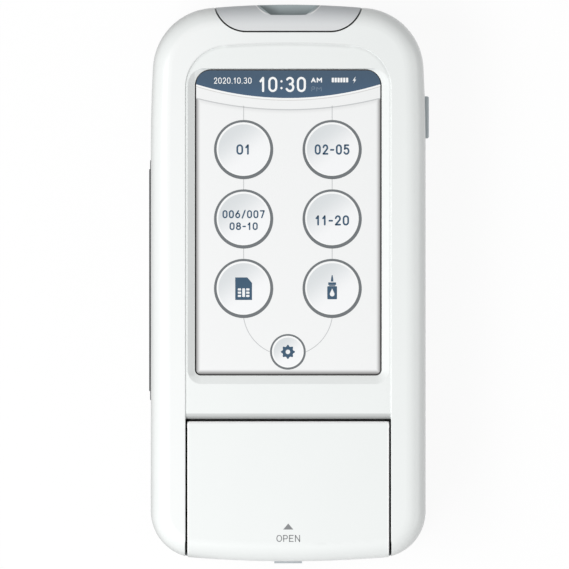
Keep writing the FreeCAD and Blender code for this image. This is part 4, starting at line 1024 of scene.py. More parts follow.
class Recipe(Tree):
    """A Geometry Nodes tree in the making, with named inputs."""

    def __init__(self, name, inputs):
        super().__init__(bpy.data.node_groups.new(name, "GeometryNodeTree"))
        for way in ("INPUT", "OUTPUT"):
            self.tree.interface.new_socket("Geometry", in_out=way, socket_type="NodeSocketGeometry")
        self.identifiers = {}
        for label, kind in inputs.items():
            socket = self.tree.interface.new_socket(label, in_out="INPUT", socket_type=kind)
            self.identifiers[label] = socket.identifier
        self.source = self.tree.nodes.new("NodeGroupInput")

    def given(self, label):
        """One of the tree's inputs."""
        return Wire(self, self.source.outputs[label])

    def vector(self, x=0.0, y=0.0, z=0.0):
        """Three numbers or wires as one vector."""
        return self.node("ShaderNodeCombineXYZ", values={0: x, 1: y, 2: z})

    def placed(self, geometry, **change):
        """The geometry with a Translation or a Rotation."""
        return self.node("GeometryNodeTransform", values={"Geometry": geometry, **change})

    def cylinder(self, vertices, radius, depth):
        """An upright cylinder about the origin."""
        return self.node("GeometryNodeMeshCylinder", {"fill_type": "NGON"},
                         {"Vertices": vertices, "Radius": radius, "Depth": depth}, output="Mesh")

    def block(self, x, y, z):
        """A box about the origin."""
        return self.node("GeometryNodeMeshCube", values={"Size": self.vector(x, y, z)},
                         output="Mesh")

    def copies(self, points, shape, **turn):
        """A copy of the shape on each point."""
        return self.node("GeometryNodeInstanceOnPoints", values={
            "Points": points, "Instance": shape, **turn})

    def row(self, shape, **pitch):
        """As many copies in a row as the tree's Count says."""
        line = self.node("GeometryNodeMeshLine", {"mode": "OFFSET"}, {
            "Count": self.given("Count"), "Offset": self.vector(**pitch)})
        return self.copies(line, shape)

    def close(self, shape, finish, **turn):
        """Ends the tree: a copy on each given point, made real, and the finish set on it."""
        copies = self.copies(self.given("Geometry"), shape, **turn)
        real = self.node("GeometryNodeRealizeInstances", values={0: copies})
        painted = self.node(
            "GeometryNodeSetMaterial", values={"Geometry": real, "Material": finish.material})
        exit_node = self.tree.nodes.new("NodeGroupOutput")
        self.feed(exit_node.inputs["Geometry"], painted)

    def cook(self, name, places, values):
        """Runs the tree on a mesh of points, in mm, and returns a plain mesh."""
        seed = bpy.data.meshes.new(name)
        seed.from_pydata([tuple(c * MM for c in place) for place in places], [], [])
        holder = bpy.data.objects.new(name, seed)
        modifier = holder.modifiers.new("recipe", "NODES")
        modifier.node_group = self.tree
        for label, value in values.items():
            modifier[self.identifiers[label]] = value
        return evaluated_mesh(holder)


LENGTH = "NodeSocketFloat"
COUNT = "NodeSocketInt"

# %% A tree for the discs
disc_downhill = (0.6, -0.8, 0.0)


def disc_colour(finish):
    """Grey at the upper left and nearly white at the lower right of each disc."""
    slope = finish.node("ShaderNodeAttribute", {"attribute_name": "slope"}, output="Fac")
    return finish.mix(finish.step(slope, 0.05, 0.72), tint(222, 226, 228), tint(249, 250, 251))


disc_ink = lit("disc_ink", disc_colour)


def disc_recipe():
    """A round plate on each point, which remembers how far down its slope each point lies."""
    recipe = Recipe("disc_on_points", {"Radius": LENGTH, "Depth": LENGTH})
    radius = recipe.given("Radius")
    plate = recipe.cylinder(96, radius, recipe.given("Depth"))
    where = recipe.node("GeometryNodeInputPosition")
    downhill = recipe.node(
        "ShaderNodeVectorMath", {"operation": "DOT_PRODUCT"},
        {0: where, 1: disc_downhill}, output="Value")
    share = downhill / (radius * 2.0)
    marked = recipe.node(
        "GeometryNodeStoreNamedAttribute", {"data_type": "FLOAT", "domain": "POINT"},
        {"Geometry": plate, "Name": "slope", "Value": share + 0.5})
    recipe.close(marked, disc_ink)
    return recipe


# %% Discs on the page
button_columns = (-12.65, 12.45)
button_rows = (37.82, 18.15, -1.56)
ring_outer = 8.40
ring_inner = 7.60
ring_inner_shift = (-0.06, 0.15)
disc_radius = 7.18
menu_middle = (-0.1, -19.53)
menu_outer = 5.06
menu_inner = 4.50
menu_inner_shift = (-0.02, 0.05)
menu_disc_radius = 4.05
buttons = [(column, row) for row in button_rows for column in button_columns]

discs = disc_recipe()


def disc_level(number):
    """The middle height of a disc in a layer."""
    return sum(layer(number)) / 2


for name, middles, radius in (("button_discs", buttons, disc_radius),
                              ("menu_disc", [menu_middle], menu_disc_radius)):
    disc = discs.cook(name, [(x, y, disc_level(2)) for x, y in middles],
                      {"Radius": radius * MM, "Depth": layer_depth * MM})
    place_piece(name, disc, disc_ink, "case")

# %% [markdown]
# Each disc sits in a white rim and a grey ring whose hole is a hair off its middle, so that the
# ring is thicker on one side. Thin lines link the rings: down the columns and round to the menu.

# %% Rings and rims
ring_ink = lit("ring_ink", lambda finish: finish.mix(
    finish.noise(9.0), tint(112, 117, 120), tint(121, 125, 128)))
rim_overlap = 0.1


def ring_loops(centre, outer, inner, shift):
    """A ring whose hole is shifted."""
    hole = (centre[0] + shift[0], centre[1] + shift[1])
    return [circle(centre, outer), circle(hole, inner)]


on_screen("button_rings", [
    loop for centre in buttons
    for loop in ring_loops(centre, ring_outer, ring_inner, ring_inner_shift)], ring_ink, 1)
on_screen("menu_ring", ring_loops(menu_middle, menu_outer, menu_inner, menu_inner_shift),
          ring_ink, 1)
on_screen("button_rims", [circle(centre, ring_inner + rim_overlap) for centre in buttons]
          + [circle(menu_middle, menu_inner + rim_overlap)], white_ink, 0)

# %% Lines between the rings
link_width = 0.24
link_top = 50.3
link_overlap = 0.1
link_centre = (0.0, -7.9)
link_radius = 12.7
link_start = 189.0
link_end = 246.0


def link_loops():
    """Upright lines from the band down the two columns, then an arc to the menu button."""
    loops = []
    reach = ring_outer - link_overlap
    for x in button_columns:
        for above, below in zip((link_top, *button_rows), button_rows):
            top = above if above == link_top else above - reach
            loops.append(ribbon([(x, top), (x, below + reach)], link_width))
        bend = arc(link_centre, link_radius, link_start, link_end)
        side = math.copysign(1, x)
        loops.append(ribbon([(menu_middle[0] - side * px, py) for px, py in bend], link_width))
    return loops


on_screen("button_links", link_loops(), line_ink, 0)

# %% [markdown]
# ## Numbers and marks
#
# The labels are plain numbers and a few capitals. They are drawn here with a pen of one width, as
# the signs on roads and instruments are. A letter is a list of strokes on a square from (0, 0) to
# (1, 1); each stroke is a chain of points, and a bowl is an ellipse between two angles. The pen
# turns each chain into an outline with round ends, or into a ring if the chain is closed.

# %% Curved strokes


def bowl(x, y, half_width, half_height, start, end):
    """An elliptical arc with a point at about every ten degrees."""
    steps = max(4, int(abs(end - start) / 10))
    return arc((x, y), half_width, start, end, steps, half_height)


def oval(low, high, half_width=0.5, shoulder=0.30):
    """A closed stroke with round ends and straight sides."""
    upper = bowl(0.5, high - shoulder, half_width, shoulder, 0, 180)
    lower = bowl(0.5, low + shoulder, half_width, shoulder, 180, 360)
    return upper + lower + upper[:1]


# %% The letters as strokes
letter_strokes = {
    "0": [oval(0, 1)],
    "1": [[(0.10, 0.74), (0.62, 1.0)], [(0.62, 1.0), (0.62, 0.0)]],
    "2": [bowl(0.5, 0.70, 0.46, 0.30, 170, -22) + [(0.04, 0.0)], [(0.04, 0.0), (0.98, 0.0)]],
    "3": [bowl(0.46, 0.76, 0.44, 0.24, 150, -90), bowl(0.46, 0.27, 0.50, 0.27, 82, -155)],
    "5": [[(0.92, 1.0), (0.14, 1.0)], [(0.14, 1.0), (0.08, 0.55)],
          bowl(0.46, 0.32, 0.52, 0.33, 135, -155)],
    "6": [oval(0, 0.62), [(0.04, 0.40), (0.68, 1.0)]],
    "7": [[(0.02, 1.0), (1.0, 1.0)], [(1.0, 1.0), (0.36, 0.0)]],
    "8": [oval(0.52, 1.0, 0.42, 0.23), oval(0.0, 0.52, 0.50, 0.25)],
    "A": [[(0.0, 0.0), (0.5, 1.0)], [(0.5, 1.0), (1.0, 0.0)], [(0.18, 0.32), (0.82, 0.32)]],
    "M": [[(0.0, 0.0), (0.0, 1.0)], [(0.0, 1.0), (0.5, 0.36)], [(0.5, 0.36), (1.0, 1.0)],
          [(1.0, 1.0), (1.0, 0.0)]],
    "P": [[(0.0, 0.0), (0.0, 1.0)],
          [(0.0, 1.0)] + bowl(0.60, 0.72, 0.38, 0.28, 90, -90) + [(0.0, 0.44)]],
    "O": [oval(0, 1, shoulder=0.42)],
    "E": [[(0.0, 0.0), (0.0, 1.0)], [(0.0, 1.0), (0.95, 1.0)], [(0.0, 0.52), (0.82, 0.52)],
          [(0.0, 0.0), (0.95, 0.0)]],
    "N": [[(0.0, 0.0), (0.0, 1.0)], [(0.0, 1.0), (1.0, 0.0)], [(1.0, 0.0), (1.0, 1.0)]],
    "-": [[(0.0, 0.46), (1.0, 0.46)]],
    "/": [[(0.0, -0.06), (1.0, 1.06)]],
    ".": [[(0.5, -0.01), (0.5, 0.01)]],
    ":": [[(0.5, 0.21), (0.5, 0.23)], [(0.5, 0.73), (0.5, 0.75)]]}
letter_widths = {"1": 0.44, "-": 0.40, "/": 0.46, ".": 0.20, ":": 0.24, "M": 0.74, "A": 0.66,
                 "O": 0.66, "N": 0.60}
common_width = 0.56
letter_space = 0.14


# %% The pen
cap_turn = 75


def pen_stroke(points, width):
    """The outline of a pen's stroke: a ring if its chain is closed, else one with round ends."""
    if points[0] == points[-1]:
        return list(both_edges(points[:-1], width, closed=True))
    left, right = both_edges(points, width)
    caps = []
    for tip, neighbour in ((points[-1], points[-2]), (points[0], points[1])):
        turn = math.degrees(math.atan2(tip[1] - neighbour[1], tip[0] - neighbour[0]))
        caps.append(arc(tip, width / 2, turn + cap_turn, turn - cap_turn, 6))
    return [left + caps[0] + right[::-1] + caps[1]]


def lettering_mesh(name, text, middle, width, height, low, high, weight):
    """Text that fills a box about its middle, as plates whose strokes are weight wide."""
    spans = [letter_widths.get(letter, common_width) for letter in text]
    natural = sum(spans) + letter_space * (len(text) - 1)
    scale = width / natural
    x = middle[0] - width / 2
    foot = middle[1] - height / 2 + weight / 2
    ranks = {}
    for letter, span in zip(text, spans):
        for rank, stroke in enumerate(letter_strokes[letter]):
            placed = [(x + weight / 2 + u * (span * scale - weight), foot + v * (height - weight))
                      for u, v in stroke]
            ranks.setdefault(rank, []).extend(pen_stroke(placed, weight))
        x += (span + letter_space) * scale
    return joined(*[plate_mesh(name, loops, low, high) for loops in ranks.values()])


# %% Words on the screen
slate_ink = lit("slate_ink", lambda finish: finish.mix(
    finish.noise(3.0), tint(63, 90, 114), tint(70, 97, 120)))
dim_ink = lit("dim_ink", plain(112, 130, 148))


def screen_text(name, text, middle, width, height, finish, number, weight):
    """Text in one layer of the picture."""
    low, high = layer(number)
    mesh = lettering_mesh(name, text, middle, width, height, low, high, weight)
    place_piece(name, mesh, finish, "case")


screen_text("label_one", "01", (-12.75, 37.85), 3.9, 2.95, slate_ink, 3, 0.50)
screen_text("label_two", "02-05", (12.45, 37.85), 9.9, 2.95, slate_ink, 3, 0.50)
screen_text("label_three_upper", "006/007", (-12.65, 19.5), 12.0, 2.30, slate_ink, 3, 0.40)
screen_text("label_three_lower", "08-10", (-12.65, 16.1), 8.0, 2.20, slate_ink, 3, 0.40)
screen_text("label_four", "11-20", (12.45, 17.75), 9.6, 2.9, slate_ink, 3, 0.50)
screen_text("clock_date", "2020.10.30", (-15.75, 57.40), 10.7, 1.75, white_ink, 2, 0.21)
screen_text("clock_time", "10:30", (-1.65, 56.30), 13.3, 4.30, white_ink, 2, 0.60)
screen_text("clock_am", "AM", (8.02, 57.55), 3.1, 1.40, white_ink, 2, 0.32)
screen_text("clock_pm", "PM", (8.00, 55.05), 3.0, 1.40, dim_ink, 2, 0.24)

# %% [markdown]
# Three pictograms show a chip card, a dropper bottle and a gear. Each is a few outlines and holes,
# drawn from a few lengths. The gear's outline is worked out by its teeth: five points to a tooth.

# %% Gear
gear_teeth = 8
gear_tip = 2.02
gear_root = 1.58
gear_hole = 0.64
gear_shoulder = gear_tip * 0.93
# how far each point of a tooth lies to its side, as a share of the pitch, and from the middle
gear_tooth = ((-0.33, gear_root), (-0.17, gear_shoulder), (0.0, gear_tip), (0.17, gear_shoulder),
              (0.33, gear_root))


def gear_outline(centre):
    """Blunt teeth round a rim, with the first one at the top."""
    points = []
    pitch = 2 * math.pi / gear_teeth
    for tooth in range(gear_teeth):
        for turn, reach in gear_tooth:
            angle = math.pi / 2 + (tooth + turn) * pitch
            points.append((centre[0] + reach * math.cos(angle),
                           centre[1] + reach * math.sin(angle)))
    return points


# %% Card and bottle


def card_loops(centre):
    """A chip card with one cut corner and its contacts left open."""
    x, y = centre
    half, tall, cut = 2.38, 3.2, 1.35
    outline = [(x - half, y - tall), (x + half, y - tall), (x + half, y + tall - cut * 1.15),
               (x + half - cut, y + tall), (x - half, y + tall)]
    foot, pitch, contact = y - 2.35, 0.92, 0.60
    holes = [rounded_box(left, left + 0.93, foot + row * pitch, foot + row * pitch + contact, 0.15)
             for row in range(3) for left in (x - 1.65, x + 0.72)]
    holes.append(rounded_box(x - 0.40, x + 0.40, foot, y + 0.09, 0.18))
    return [outline] + holes


def bottle_loops(x):
    """A dropper bottle: its body with a drop left open, its collar and its nozzle."""
    body = rounded_box(x - 1.38, x + 1.38, -4.62, -0.92, 0.22)
    drop_centre, drop_radius = (x, -3.15), 0.66
    drop = arc(drop_centre, drop_radius, 150, 390, 20) + [(x, -1.55)]
    collar = rounded_box(x - 1.12, x + 1.12, -0.56, 0.16, 0.12)
    nozzle = [(x - 0.36, 0.40), (x + 0.36, 0.40), (x + 0.30, 1.20), (x + 0.12, 2.22),
              (x - 0.12, 2.22), (x - 0.30, 1.20)]
    neck = rounded_box(x - 0.85, x + 0.85, -0.86, -0.62, 0.05)
    return [body, drop, collar, nozzle, neck]


# %% Pictograms in their places
on_screen("icon_card", card_loops((-12.65, -1.62)), slate_ink, 3)
on_screen("icon_bottle", bottle_loops(12.45), slate_ink, 3)
on_screen("icon_gear", [gear_outline(menu_middle), circle(menu_middle, gear_hole, 32)],
          slate_ink, 3)

# %% [markdown]
# The charge shows as six bars in a row, with a bolt beside them. Bars at an even pitch are a line
# of points with a small plate on each, which is the shortest Geometry Nodes tree there is.

# %% Charge bars


def bar_recipe():
    """A row of flat bars from each point."""
    recipe = Recipe("bars_in_a_row", {"Count": COUNT, "Pitch": LENGTH, "Width": LENGTH,
                                      "Height": LENGTH, "Depth": LENGTH})
    bar = recipe.block(*[recipe.given(side) for side in ("Width", "Height", "Depth")])
    recipe.close(recipe.row(bar, x=recipe.given("Pitch")), white_ink)
    return recipe


bar_count, bar_pitch, bar_width, bar_height = 6, 0.81, 0.60, 1.28
first_bar = (12.65, 57.55, disc_level(2))
charge = bar_recipe().cook("charge_bars", [first_bar], {
    "Count": bar_count, "Pitch": bar_pitch * MM, "Width": bar_width * MM,
    "Height": bar_height * MM, "Depth": layer_depth * MM})
place_piece("charge_bars", charge, white_ink, "case")

# %% Charge bolt
bolt_middle = (18.75, 57.5)
bolt = [(0.26, 0.92), (-0.46, -0.10), (0.02, -0.10), (-0.22, -0.92), (0.48, 0.18), (0.04, 0.18),
        (0.36, 0.92)]
on_screen("charge_bolt", [[(bolt_middle[0] + x, bolt_middle[1] + y) for x, y in bolt]],
          white_ink, 2)

# %% [markdown]
# ## The mark on the door
#
# The door is printed with an arrow and one word, in grey pad-printing ink that is a little duller
# than the plastic. The door lies a tenth of a millimetre under the rails, so the ink lies within
# the case's own height. It rides on the door.

# %% Door print
print_depth = 0.02
print_low, print_high = door_high.z - print_depth, door_high.z + print_depth
arrow_half, arrow_foot, arrow_tip = 1.43, -69.90, -68.20
word_middle, word_width, word_height, word_weight = (0.0, -72.42), 6.7, 1.96, 0.26


def printing_ink():
    """Grey ink, a little uneven where it took less well."""
    finish = Finish("printing_ink", {"IOR": 1.45})
    grain = finish.noise(0.12, detail=3.0)
    finish.surface("Base Color", finish.mix(grain, tint(128, 130, 132), tint(142, 144, 146)))
    finish.surface("Roughness", grain.about(0.55, 0.1))
    finish.bump(grain, grain_relief)
    return finish


door_ink = printing_ink()
door_arrow = [(-arrow_half, arrow_foot), (arrow_half, arrow_foot), (0.0, arrow_tip)]
place_plate("door_arrow", [door_arrow], print_low, print_high, door_ink, "door")
word = lettering_mesh("door_word", "OPEN", word_middle, word_width, word_height, print_low,
                      print_high, word_weight)
place_piece("door_word", word, door_ink, "door")

# %% [markdown]
# ## Screws
#
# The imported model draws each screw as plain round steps. Up close a screw is known by its recess,
# so one Geometry Nodes tree makes the whole screw: a head with a sloped rim, a cross cut out of it
# by a boolean, and a shank. It puts one on each point and turns each by a random angle, as hands
# leave them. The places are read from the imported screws, which the new ones then replace.

# %% A tree for screws
head_top_share = 0.80
cross_reach_share, cross_width_share, cross_depth_share = 1.05, 0.24, 1.2
turn_seed = 0


def screw_recipe():
    """A screw on each point, whose top is at the point before it is flipped."""
    recipe = Recipe("screws_on_points", {
        "Head Radius": LENGTH, "Head Height": LENGTH, "Shank Radius": LENGTH,
        "Shank Length": LENGTH, "Flip": LENGTH})
    radius, height, length = (
        recipe.given(label) for label in ("Head Radius", "Head Height", "Shank Length"))
    below = height * -1.0
    cone = recipe.node(
        "GeometryNodeMeshCone", {"fill_type": "NGON"},
        {"Vertices": 40, "Radius Top": radius * head_top_share, "Radius Bottom": radius,
         "Depth": height}, output="Mesh")
    head = recipe.placed(cone, Translation=recipe.vector(z=below))
    shank = recipe.placed(
        recipe.cylinder(24, recipe.given("Shank Radius"), length),
        Translation=recipe.vector(z=below - length * 0.5))
    reach, slit = radius * cross_reach_share, radius * cross_width_share
    depth = height * cross_depth_share
    arms = [recipe.block(reach, slit, depth), recipe.block(slit, reach, depth)]
    solid = recipe.node("GeometryNodeMeshBoolean", {"operation": "UNION", "solver": "EXACT"},
                        {1: [head, shank]})
    screw = recipe.node("GeometryNodeMeshBoolean",
                        {"operation": "DIFFERENCE", "solver": "EXACT"}, {0: solid, 1: arms})
    turn = recipe.node("FunctionNodeRandomValue", {"data_type": "FLOAT"},
                       {2: 0.0, 3: 2 * math.pi, "Seed": turn_seed}, output=1)
    facing = recipe.placed(screw, Rotation=recipe.vector(x=recipe.given("Flip")))
    recipe.close(facing, steel, Rotation=recipe.vector(z=turn))
    return recipe


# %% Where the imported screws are


def middles_of(node, apart):
    """The middles of a node's separate pieces, which lie at least that far apart, in mm."""
    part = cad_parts[node]
    groups = []
    for vertex in part.data.vertices:
        place = (part.matrix_world @ vertex.co).xy / MM
        near = [group for group in groups if (group[0] - place).length < apart]
        if near:
            near[0].append(place)
        else:
            groups.append([place])
    return [tuple((min(p[i] for p in group) + max(p[i] for p in group)) / 2 for i in (0, 1))
            for group in groups]


# %% Screws in their places
screws = screw_recipe()
screw_spacing = 4.5
# node: radius and height of its head, radius of its shank, and whether the head is on top
screw_kinds = {
    "case_screws": (2.0, 1.6, 1.0, False), "cover_screw": (1.5, 1.2, 0.7, False),
    "tray_screws": (1.5, 1.2, 0.7, True), "board_screws": (1.5, 1.2, 0.7, True),
    "display_screws": (1.5, 1.2, 0.7, False)}
for node_name, (head_radius, head_height, shank_radius, on_top) in screw_kinds.items():
    node_low, node_high = box_mm(node_name)
    face = node_high.z if on_top else node_low.z
    middles = middles_of(node_name, screw_spacing)
    mesh = screws.cook(
        "crossed_" + node_name, [(x, y, face) for x, y in middles],
        {"Head Radius": head_radius * MM, "Head Height": head_height * MM,
         "Shank Radius": shank_radius * MM,
         "Shank Length": (node_high.z - node_low.z - head_height) * MM,
         "Flip": 0.0 if on_top else math.pi})
    piece = place_piece("crossed_" + node_name, mesh, steel, "case")
    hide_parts(node_name)

# %% [markdown]
# ## The grip, the dark strip in the gap and the ribs
#
# Three more pieces are made of strips. The soft grip on the left side gets ribs along it. A strip
# of black foam lies in the gap round the door's opening, against the painted black walls, and
# stands in for the shadow in the gap.
# The battery cover gets low ribs for a thumb. A tree like that of the charge bars makes the ribs,
# with round rods instead of boxes.

# %% Dark strip in the gap round the door's opening, for its shadow
skin_gap = 0.02
gap_strip_outer = 29.12
gap_strip_inner = 28.64
gap_strip_end = -38.65
gap_strip_thickness = 0.5
gap_strip_height = 29.6
gap_strip_loop = [(-gap_strip_outer, tray_low.y), (-gap_strip_outer, gap_strip_end), (gap_strip_outer, gap_strip_end),
             (gap_strip_outer, tray_low.y), (gap_strip_inner, tray_low.y),
             (gap_strip_inner, gap_strip_end - gap_strip_thickness), (-gap_strip_inner, gap_strip_end - gap_strip_thickness),
             (-gap_strip_inner, tray_low.y)]
place_plate("gap_shadow_strip", [gap_strip_loop], tray_high.z + skin_gap, gap_strip_height, black_foam, "case")

# %% Rods in a row


def rod_recipe(finish):
    """Rods that lie along X, one after another along Y, from each point."""
    recipe = Recipe("rods_in_a_row", {"Count": COUNT, "Pitch": LENGTH, "Radius": LENGTH,
                                      "Length": LENGTH})
    rod = recipe.cylinder(24, recipe.given("Radius"), recipe.given("Length"))
    lying = recipe.placed(rod, Rotation=(0.0, math.pi / 2, 0.0))
    recipe.close(recipe.row(lying, y=recipe.given("Pitch")), finish)
    return recipe


def rods(name, first_ones, count, pitch, radius, length, finish):
    """A mesh of rods in rows, with their first ones at the given points, in mm."""
    return rod_recipe(finish).cook(name, first_ones, {
        "Count": count, "Pitch": pitch * MM, "Radius": radius * MM, "Length": length * MM})


# %% [markdown]
# The grip is drawn as if it lay flat and then tipped on its side: a base in the case's wall, a
# raised pad with round ends and the ribs along it.

# %% Ribbed grip
# the drawing's x runs along the case, its y up and its thickness across
side_on = Matrix(((0, 0, 1, 0), (1, 0, 0, 0), (0, 1, 0, 0), (0, 0, 0, 1)))
grip_low, grip_high = box_mm("grip_strip")
grip_middle = (grip_low + grip_high) / 2
grip_rib_height = 0.28
grip_rib_radius = 0.42
grip_rib_count = 5
grip_rib_pitch = 1.35
grip_margin = 2.6
grip_edge = 0.3
pad_low, pad_high = grip_low.y + grip_edge, grip_high.y - 2.4
pad_round = 3.0


def side_plate(name, loop, left, right):
    """A plate that stands on the case's side, between two places across."""
    plate = plate_mesh(name, [loop], left, right)
    plate.transform(side_on)
    return plate


grip_base = side_plate(
    "ribbed_grip", rounded_box(grip_low.y, grip_high.y, grip_low.z, grip_high.z, grip_edge),
    face_low.x + skin_gap, grip_high.x)
grip_pad = side_plate(
    "grip_pad", rounded_box(pad_low, pad_high, grip_low.z + grip_edge, grip_high.z - grip_edge,
                            pad_round), grip_low.x + grip_rib_height, face_low.x + 0.1)
grip_ribs = rods("grip_ribs", [(0.0, 0.0, 0.0)], grip_rib_count, grip_rib_pitch, grip_rib_radius,
                 pad_high - pad_low - 2 * grip_margin, dark_rubber)
grip_ribs.transform(side_on)
grip_ribs.transform(Matrix.Translation(Vector((
    grip_low.x + grip_rib_radius, (pad_low + pad_high) / 2,
    grip_middle.z - (grip_rib_count - 1) / 2 * grip_rib_pitch)) * MM))
grip = place_piece("ribbed_grip", joined(grip_base, grip_pad, grip_ribs), dark_rubber, "case",
                   smooth_below=sharp_angle)
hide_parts("grip_strip")

# %% Thumb ribs on the battery cover
thumb_count, thumb_pitch, thumb_radius, thumb_length = 6, 1.9, 0.5, 20.0
thumb_inset, thumb_sunk = 5.0, 0.15
cover_low = box_mm("battery_cover")[0]
thumb_ribs = rods("thumb_ribs", [(0.0, cover_low.y + thumb_inset, cover_low.z + thumb_sunk)],
                  thumb_count, thumb_pitch, thumb_radius, thumb_length, white_shell)
place_piece("thumb_ribs", thumb_ribs, white_shell, "case", smooth_below=sharp_angle)

# %% [markdown]
# ## Sockets and marks in the bay
#
# The two sockets on the board are thin folded shells with a tongue and its gold contacts inside.
# They are seen when the grey cover is flipped up. In the bay an arrow in the tray's channel shows
# which way a strip goes in.

# %% Socket shells
upright = Matrix.Rotation(math.pi / 2, 4, "X")  # stands a flat drawing up across the case
shell_wall = 0.3
socket_floor = 1.2


def socket_shell(node_name, low, high, corner):
    """A tube with round corners that opens towards the top end, and its back wall."""
    outer = rounded_box(low.x, high.x, low.z, high.z, corner)
    inner = rounded_box(low.x + shell_wall, high.x - shell_wall, low.z + shell_wall,
                        high.z - shell_wall, corner - shell_wall)
    tube = plate_mesh("shell_" + node_name, [outer, inner], -high.y, -low.y)
    back = plate_mesh("back", [outer], -low.y - socket_floor, -low.y)
    for mesh in (tube, back):
        mesh.transform(upright)
    shell = place_piece("shell_" + node_name, joined(tube, back), bright_metal, "case",
                        smooth_below=sharp_angle)
    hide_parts(node_name)


# %% Tongues and contacts
tongue_margin, tongue_half = 1.0, 0.30
contact_half, contact_back, contact_front = 0.34, 2.0, 1.2


def box_mesh(name, low, high):
    """A small block with rounded upright edges."""
    left, front, bottom = low
    right, back, top = high
    round_by = min(right - left, back - front) * 0.2
    return plate_mesh(name, [rounded_box(left, right, front, back, round_by)], bottom, top)


def socket_with_tongue(node_name, corner, contact_count):
    """A shell with a tongue in it, and contacts side by side that stand proud of the tongue."""
    low, high = box_mm(node_name)
    socket_shell(node_name, low, high, corner)
    middle = (low + high) / 2
    half = (high.x - low.x) / 2 - tongue_margin
    tongue = box_mesh("tongue_" + node_name,
                      (middle.x - half, low.y + socket_floor - 0.1, middle.z - tongue_half),
                      (middle.x + half, high.y - tongue_margin, middle.z + tongue_half))
    place_piece("tongue_" + node_name, tongue, black_plastic, "case")
    pitch = 2 * half / contact_count
    strips = [box_mesh("contacts_" + node_name,
                       (left + 0.25 * pitch, low.y + contact_back, middle.z - contact_half),
                       (left + 0.75 * pitch, high.y - contact_front, middle.z + contact_half))
              for left in (middle.x - half + i * pitch for i in range(contact_count))]
    place_piece("contacts_" + node_name, joined(*strips), gold_contact, "case")


socket_with_tongue("usb_socket", 1.3, 8)
socket_with_tongue("data_socket", 0.5, 5)

# %% Arrow in the channel
channel_floor = tray_high.z - channel_depth
arrow_stem, arrow_neck, arrow_point = -56.6, -54.8, -52.8
head_half, stem_half = 1.4, 0.35
stem_top = arrow_neck - 0.2
channel_arrow = [
    [(-head_half, arrow_neck), (head_half, arrow_neck), (0.0, arrow_point)],
    [(-stem_half, arrow_stem), (stem_half, arrow_stem), (stem_half, stem_top),
     (-stem_half, stem_top)]]
place_plate("channel_arrow", channel_arrow, channel_floor - print_depth,
            channel_floor + print_depth, black_plastic, "case")

# %% [markdown]
# Two marks printed on the tray show what goes where: a test strip beside the channel and a chip
# card beside its socket.

# %% Marks on the tray


def on_tray(name, loops):
    """A mark in grey ink on the tray."""
    place_plate(name, loops, tray_high.z - print_depth, tray_high.z + print_depth, door_ink,
                "case")


def strip_loops(centre):
    """A test strip: a long tab with its window and its two lines left open."""
    x, y = centre
    outline = rounded_box(x - 1.5, x + 1.5, y - 5.0, y + 5.0, 0.4)
    window = rounded_box(x - 0.8, x + 0.8, y - 3.6, y - 1.2, 0.4)
    lines = [rounded_box(x - 0.9, x + 0.9, y + low, y + low + 0.5, 0.1) for low in (1.2, 2.6)]
    return [outline, window] + lines


on_tray("tray_strip_mark", strip_loops((-8.6, -60.0)))
on_tray("tray_chip_mark", card_loops((24.9, -58.5)))

# %% [markdown]
# The door is thin, so ribs stiffen it from inside, and a foam pad presses the strip down.

# %% Pad and ribs inside the door
door_thickness = 2.0
door_inner = door_high.z - door_thickness
pad_box, pad_drop = (-5.0, 5.0, -69.0, -56.0, 1.5), 0.8
place_plate("door_pad", [rounded_box(*pad_box)], door_inner - pad_drop, door_inner + 0.1,
            black_foam, "door")

door_rib_count, door_rib_pitch, door_rib_radius, door_rib_length = 5, 5.5, 0.55, 13.0
rib_start, rib_foot = 9.0, -70.0
door_ribs = rods("door_ribs", [(side * (rib_start + door_rib_length / 2), rib_foot, door_inner)
                               for side in (-1, 1)],
                 door_rib_count, door_rib_pitch, door_rib_radius, door_rib_length, door_shell)
place_piece("door_ribs", door_ribs, door_shell, "door", smooth_below=sharp_angle)

# %% [markdown]
# ## Softer edges
#
# The blocks that fill the bay and sit on the board are drawn with sharp edges, which no moulding
# has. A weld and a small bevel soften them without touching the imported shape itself.

# %% Bevels
bevel_widths = {"strip_port": 0.35, "chip_socket": 0.35, "power_switch": 0.2, "processor": 0.1,
                "radio_shield": 0.3, "ribbon_socket": 0.15, "battery_pack": 1.2,
                "optics_block": 0.3}
weld_distance = 0.001 * MM
bevel_segments = 3
for node_name, width in bevel_widths.items():
    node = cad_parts[node_name]
    weld = node.modifiers.new("weld", "WELD")
    weld.merge_threshold = weld_distance
    bevel = node.modifiers.new("bevel", "BEVEL")
    bevel.width = width * MM
    bevel.segments = bevel_segments
    bevel.limit_method = "ANGLE"
    bevel.angle_limit = math.radians(sharp_angle)
    print(node_name, "edges softened by", width, "mm")

# %% [markdown]
# ## The stage
#
# The reader lies on a white table. A camera ray sees the table mostly by a light of its own, so it
# comes out white with only a faint shadow. Other rays see a darker table, so it throws little
# light back up at the case and the lower sides stay shaded, which draws the outline of a white
# thing on white. Under an even sky there are two strip lamps: a strong one high at the left, which
# makes the left rail white, and a weak one low at the right, which keeps the right side from
# going dark.

# %% Floor
glow_share = 0.92
cloth_dark, cloth_light = grey(0.48), grey(0.52)
floor_half = 1.6


def floor_finish():
    """White by its own light to the camera, and a mid grey cloth to every other ray."""
    finish = Finish("table_top", {"IOR": 1.4, "Specular IOR Level": 0.0, "Roughness": 0.8,
                                  "Emission Strength": 1.0})
    camera_ray, glossy_ray, clear_ray = (
        finish.node("ShaderNodeLightPath", output=f"Is {kind} Ray")
        for kind in ("Camera", "Glossy", "Transmission"))
    seen = camera_ray.at_least(glossy_ray).at_least(clear_ray)
    cloth = finish.mix(finish.noise(3.0, detail=4.0), cloth_dark, cloth_light)
    finish.surface("Base Color", finish.mix(seen, cloth, grey(1 - glow_share)))
    finish.surface("Emission Color", finish.mix(seen, BLACK, grey(glow_share)))
    return finish


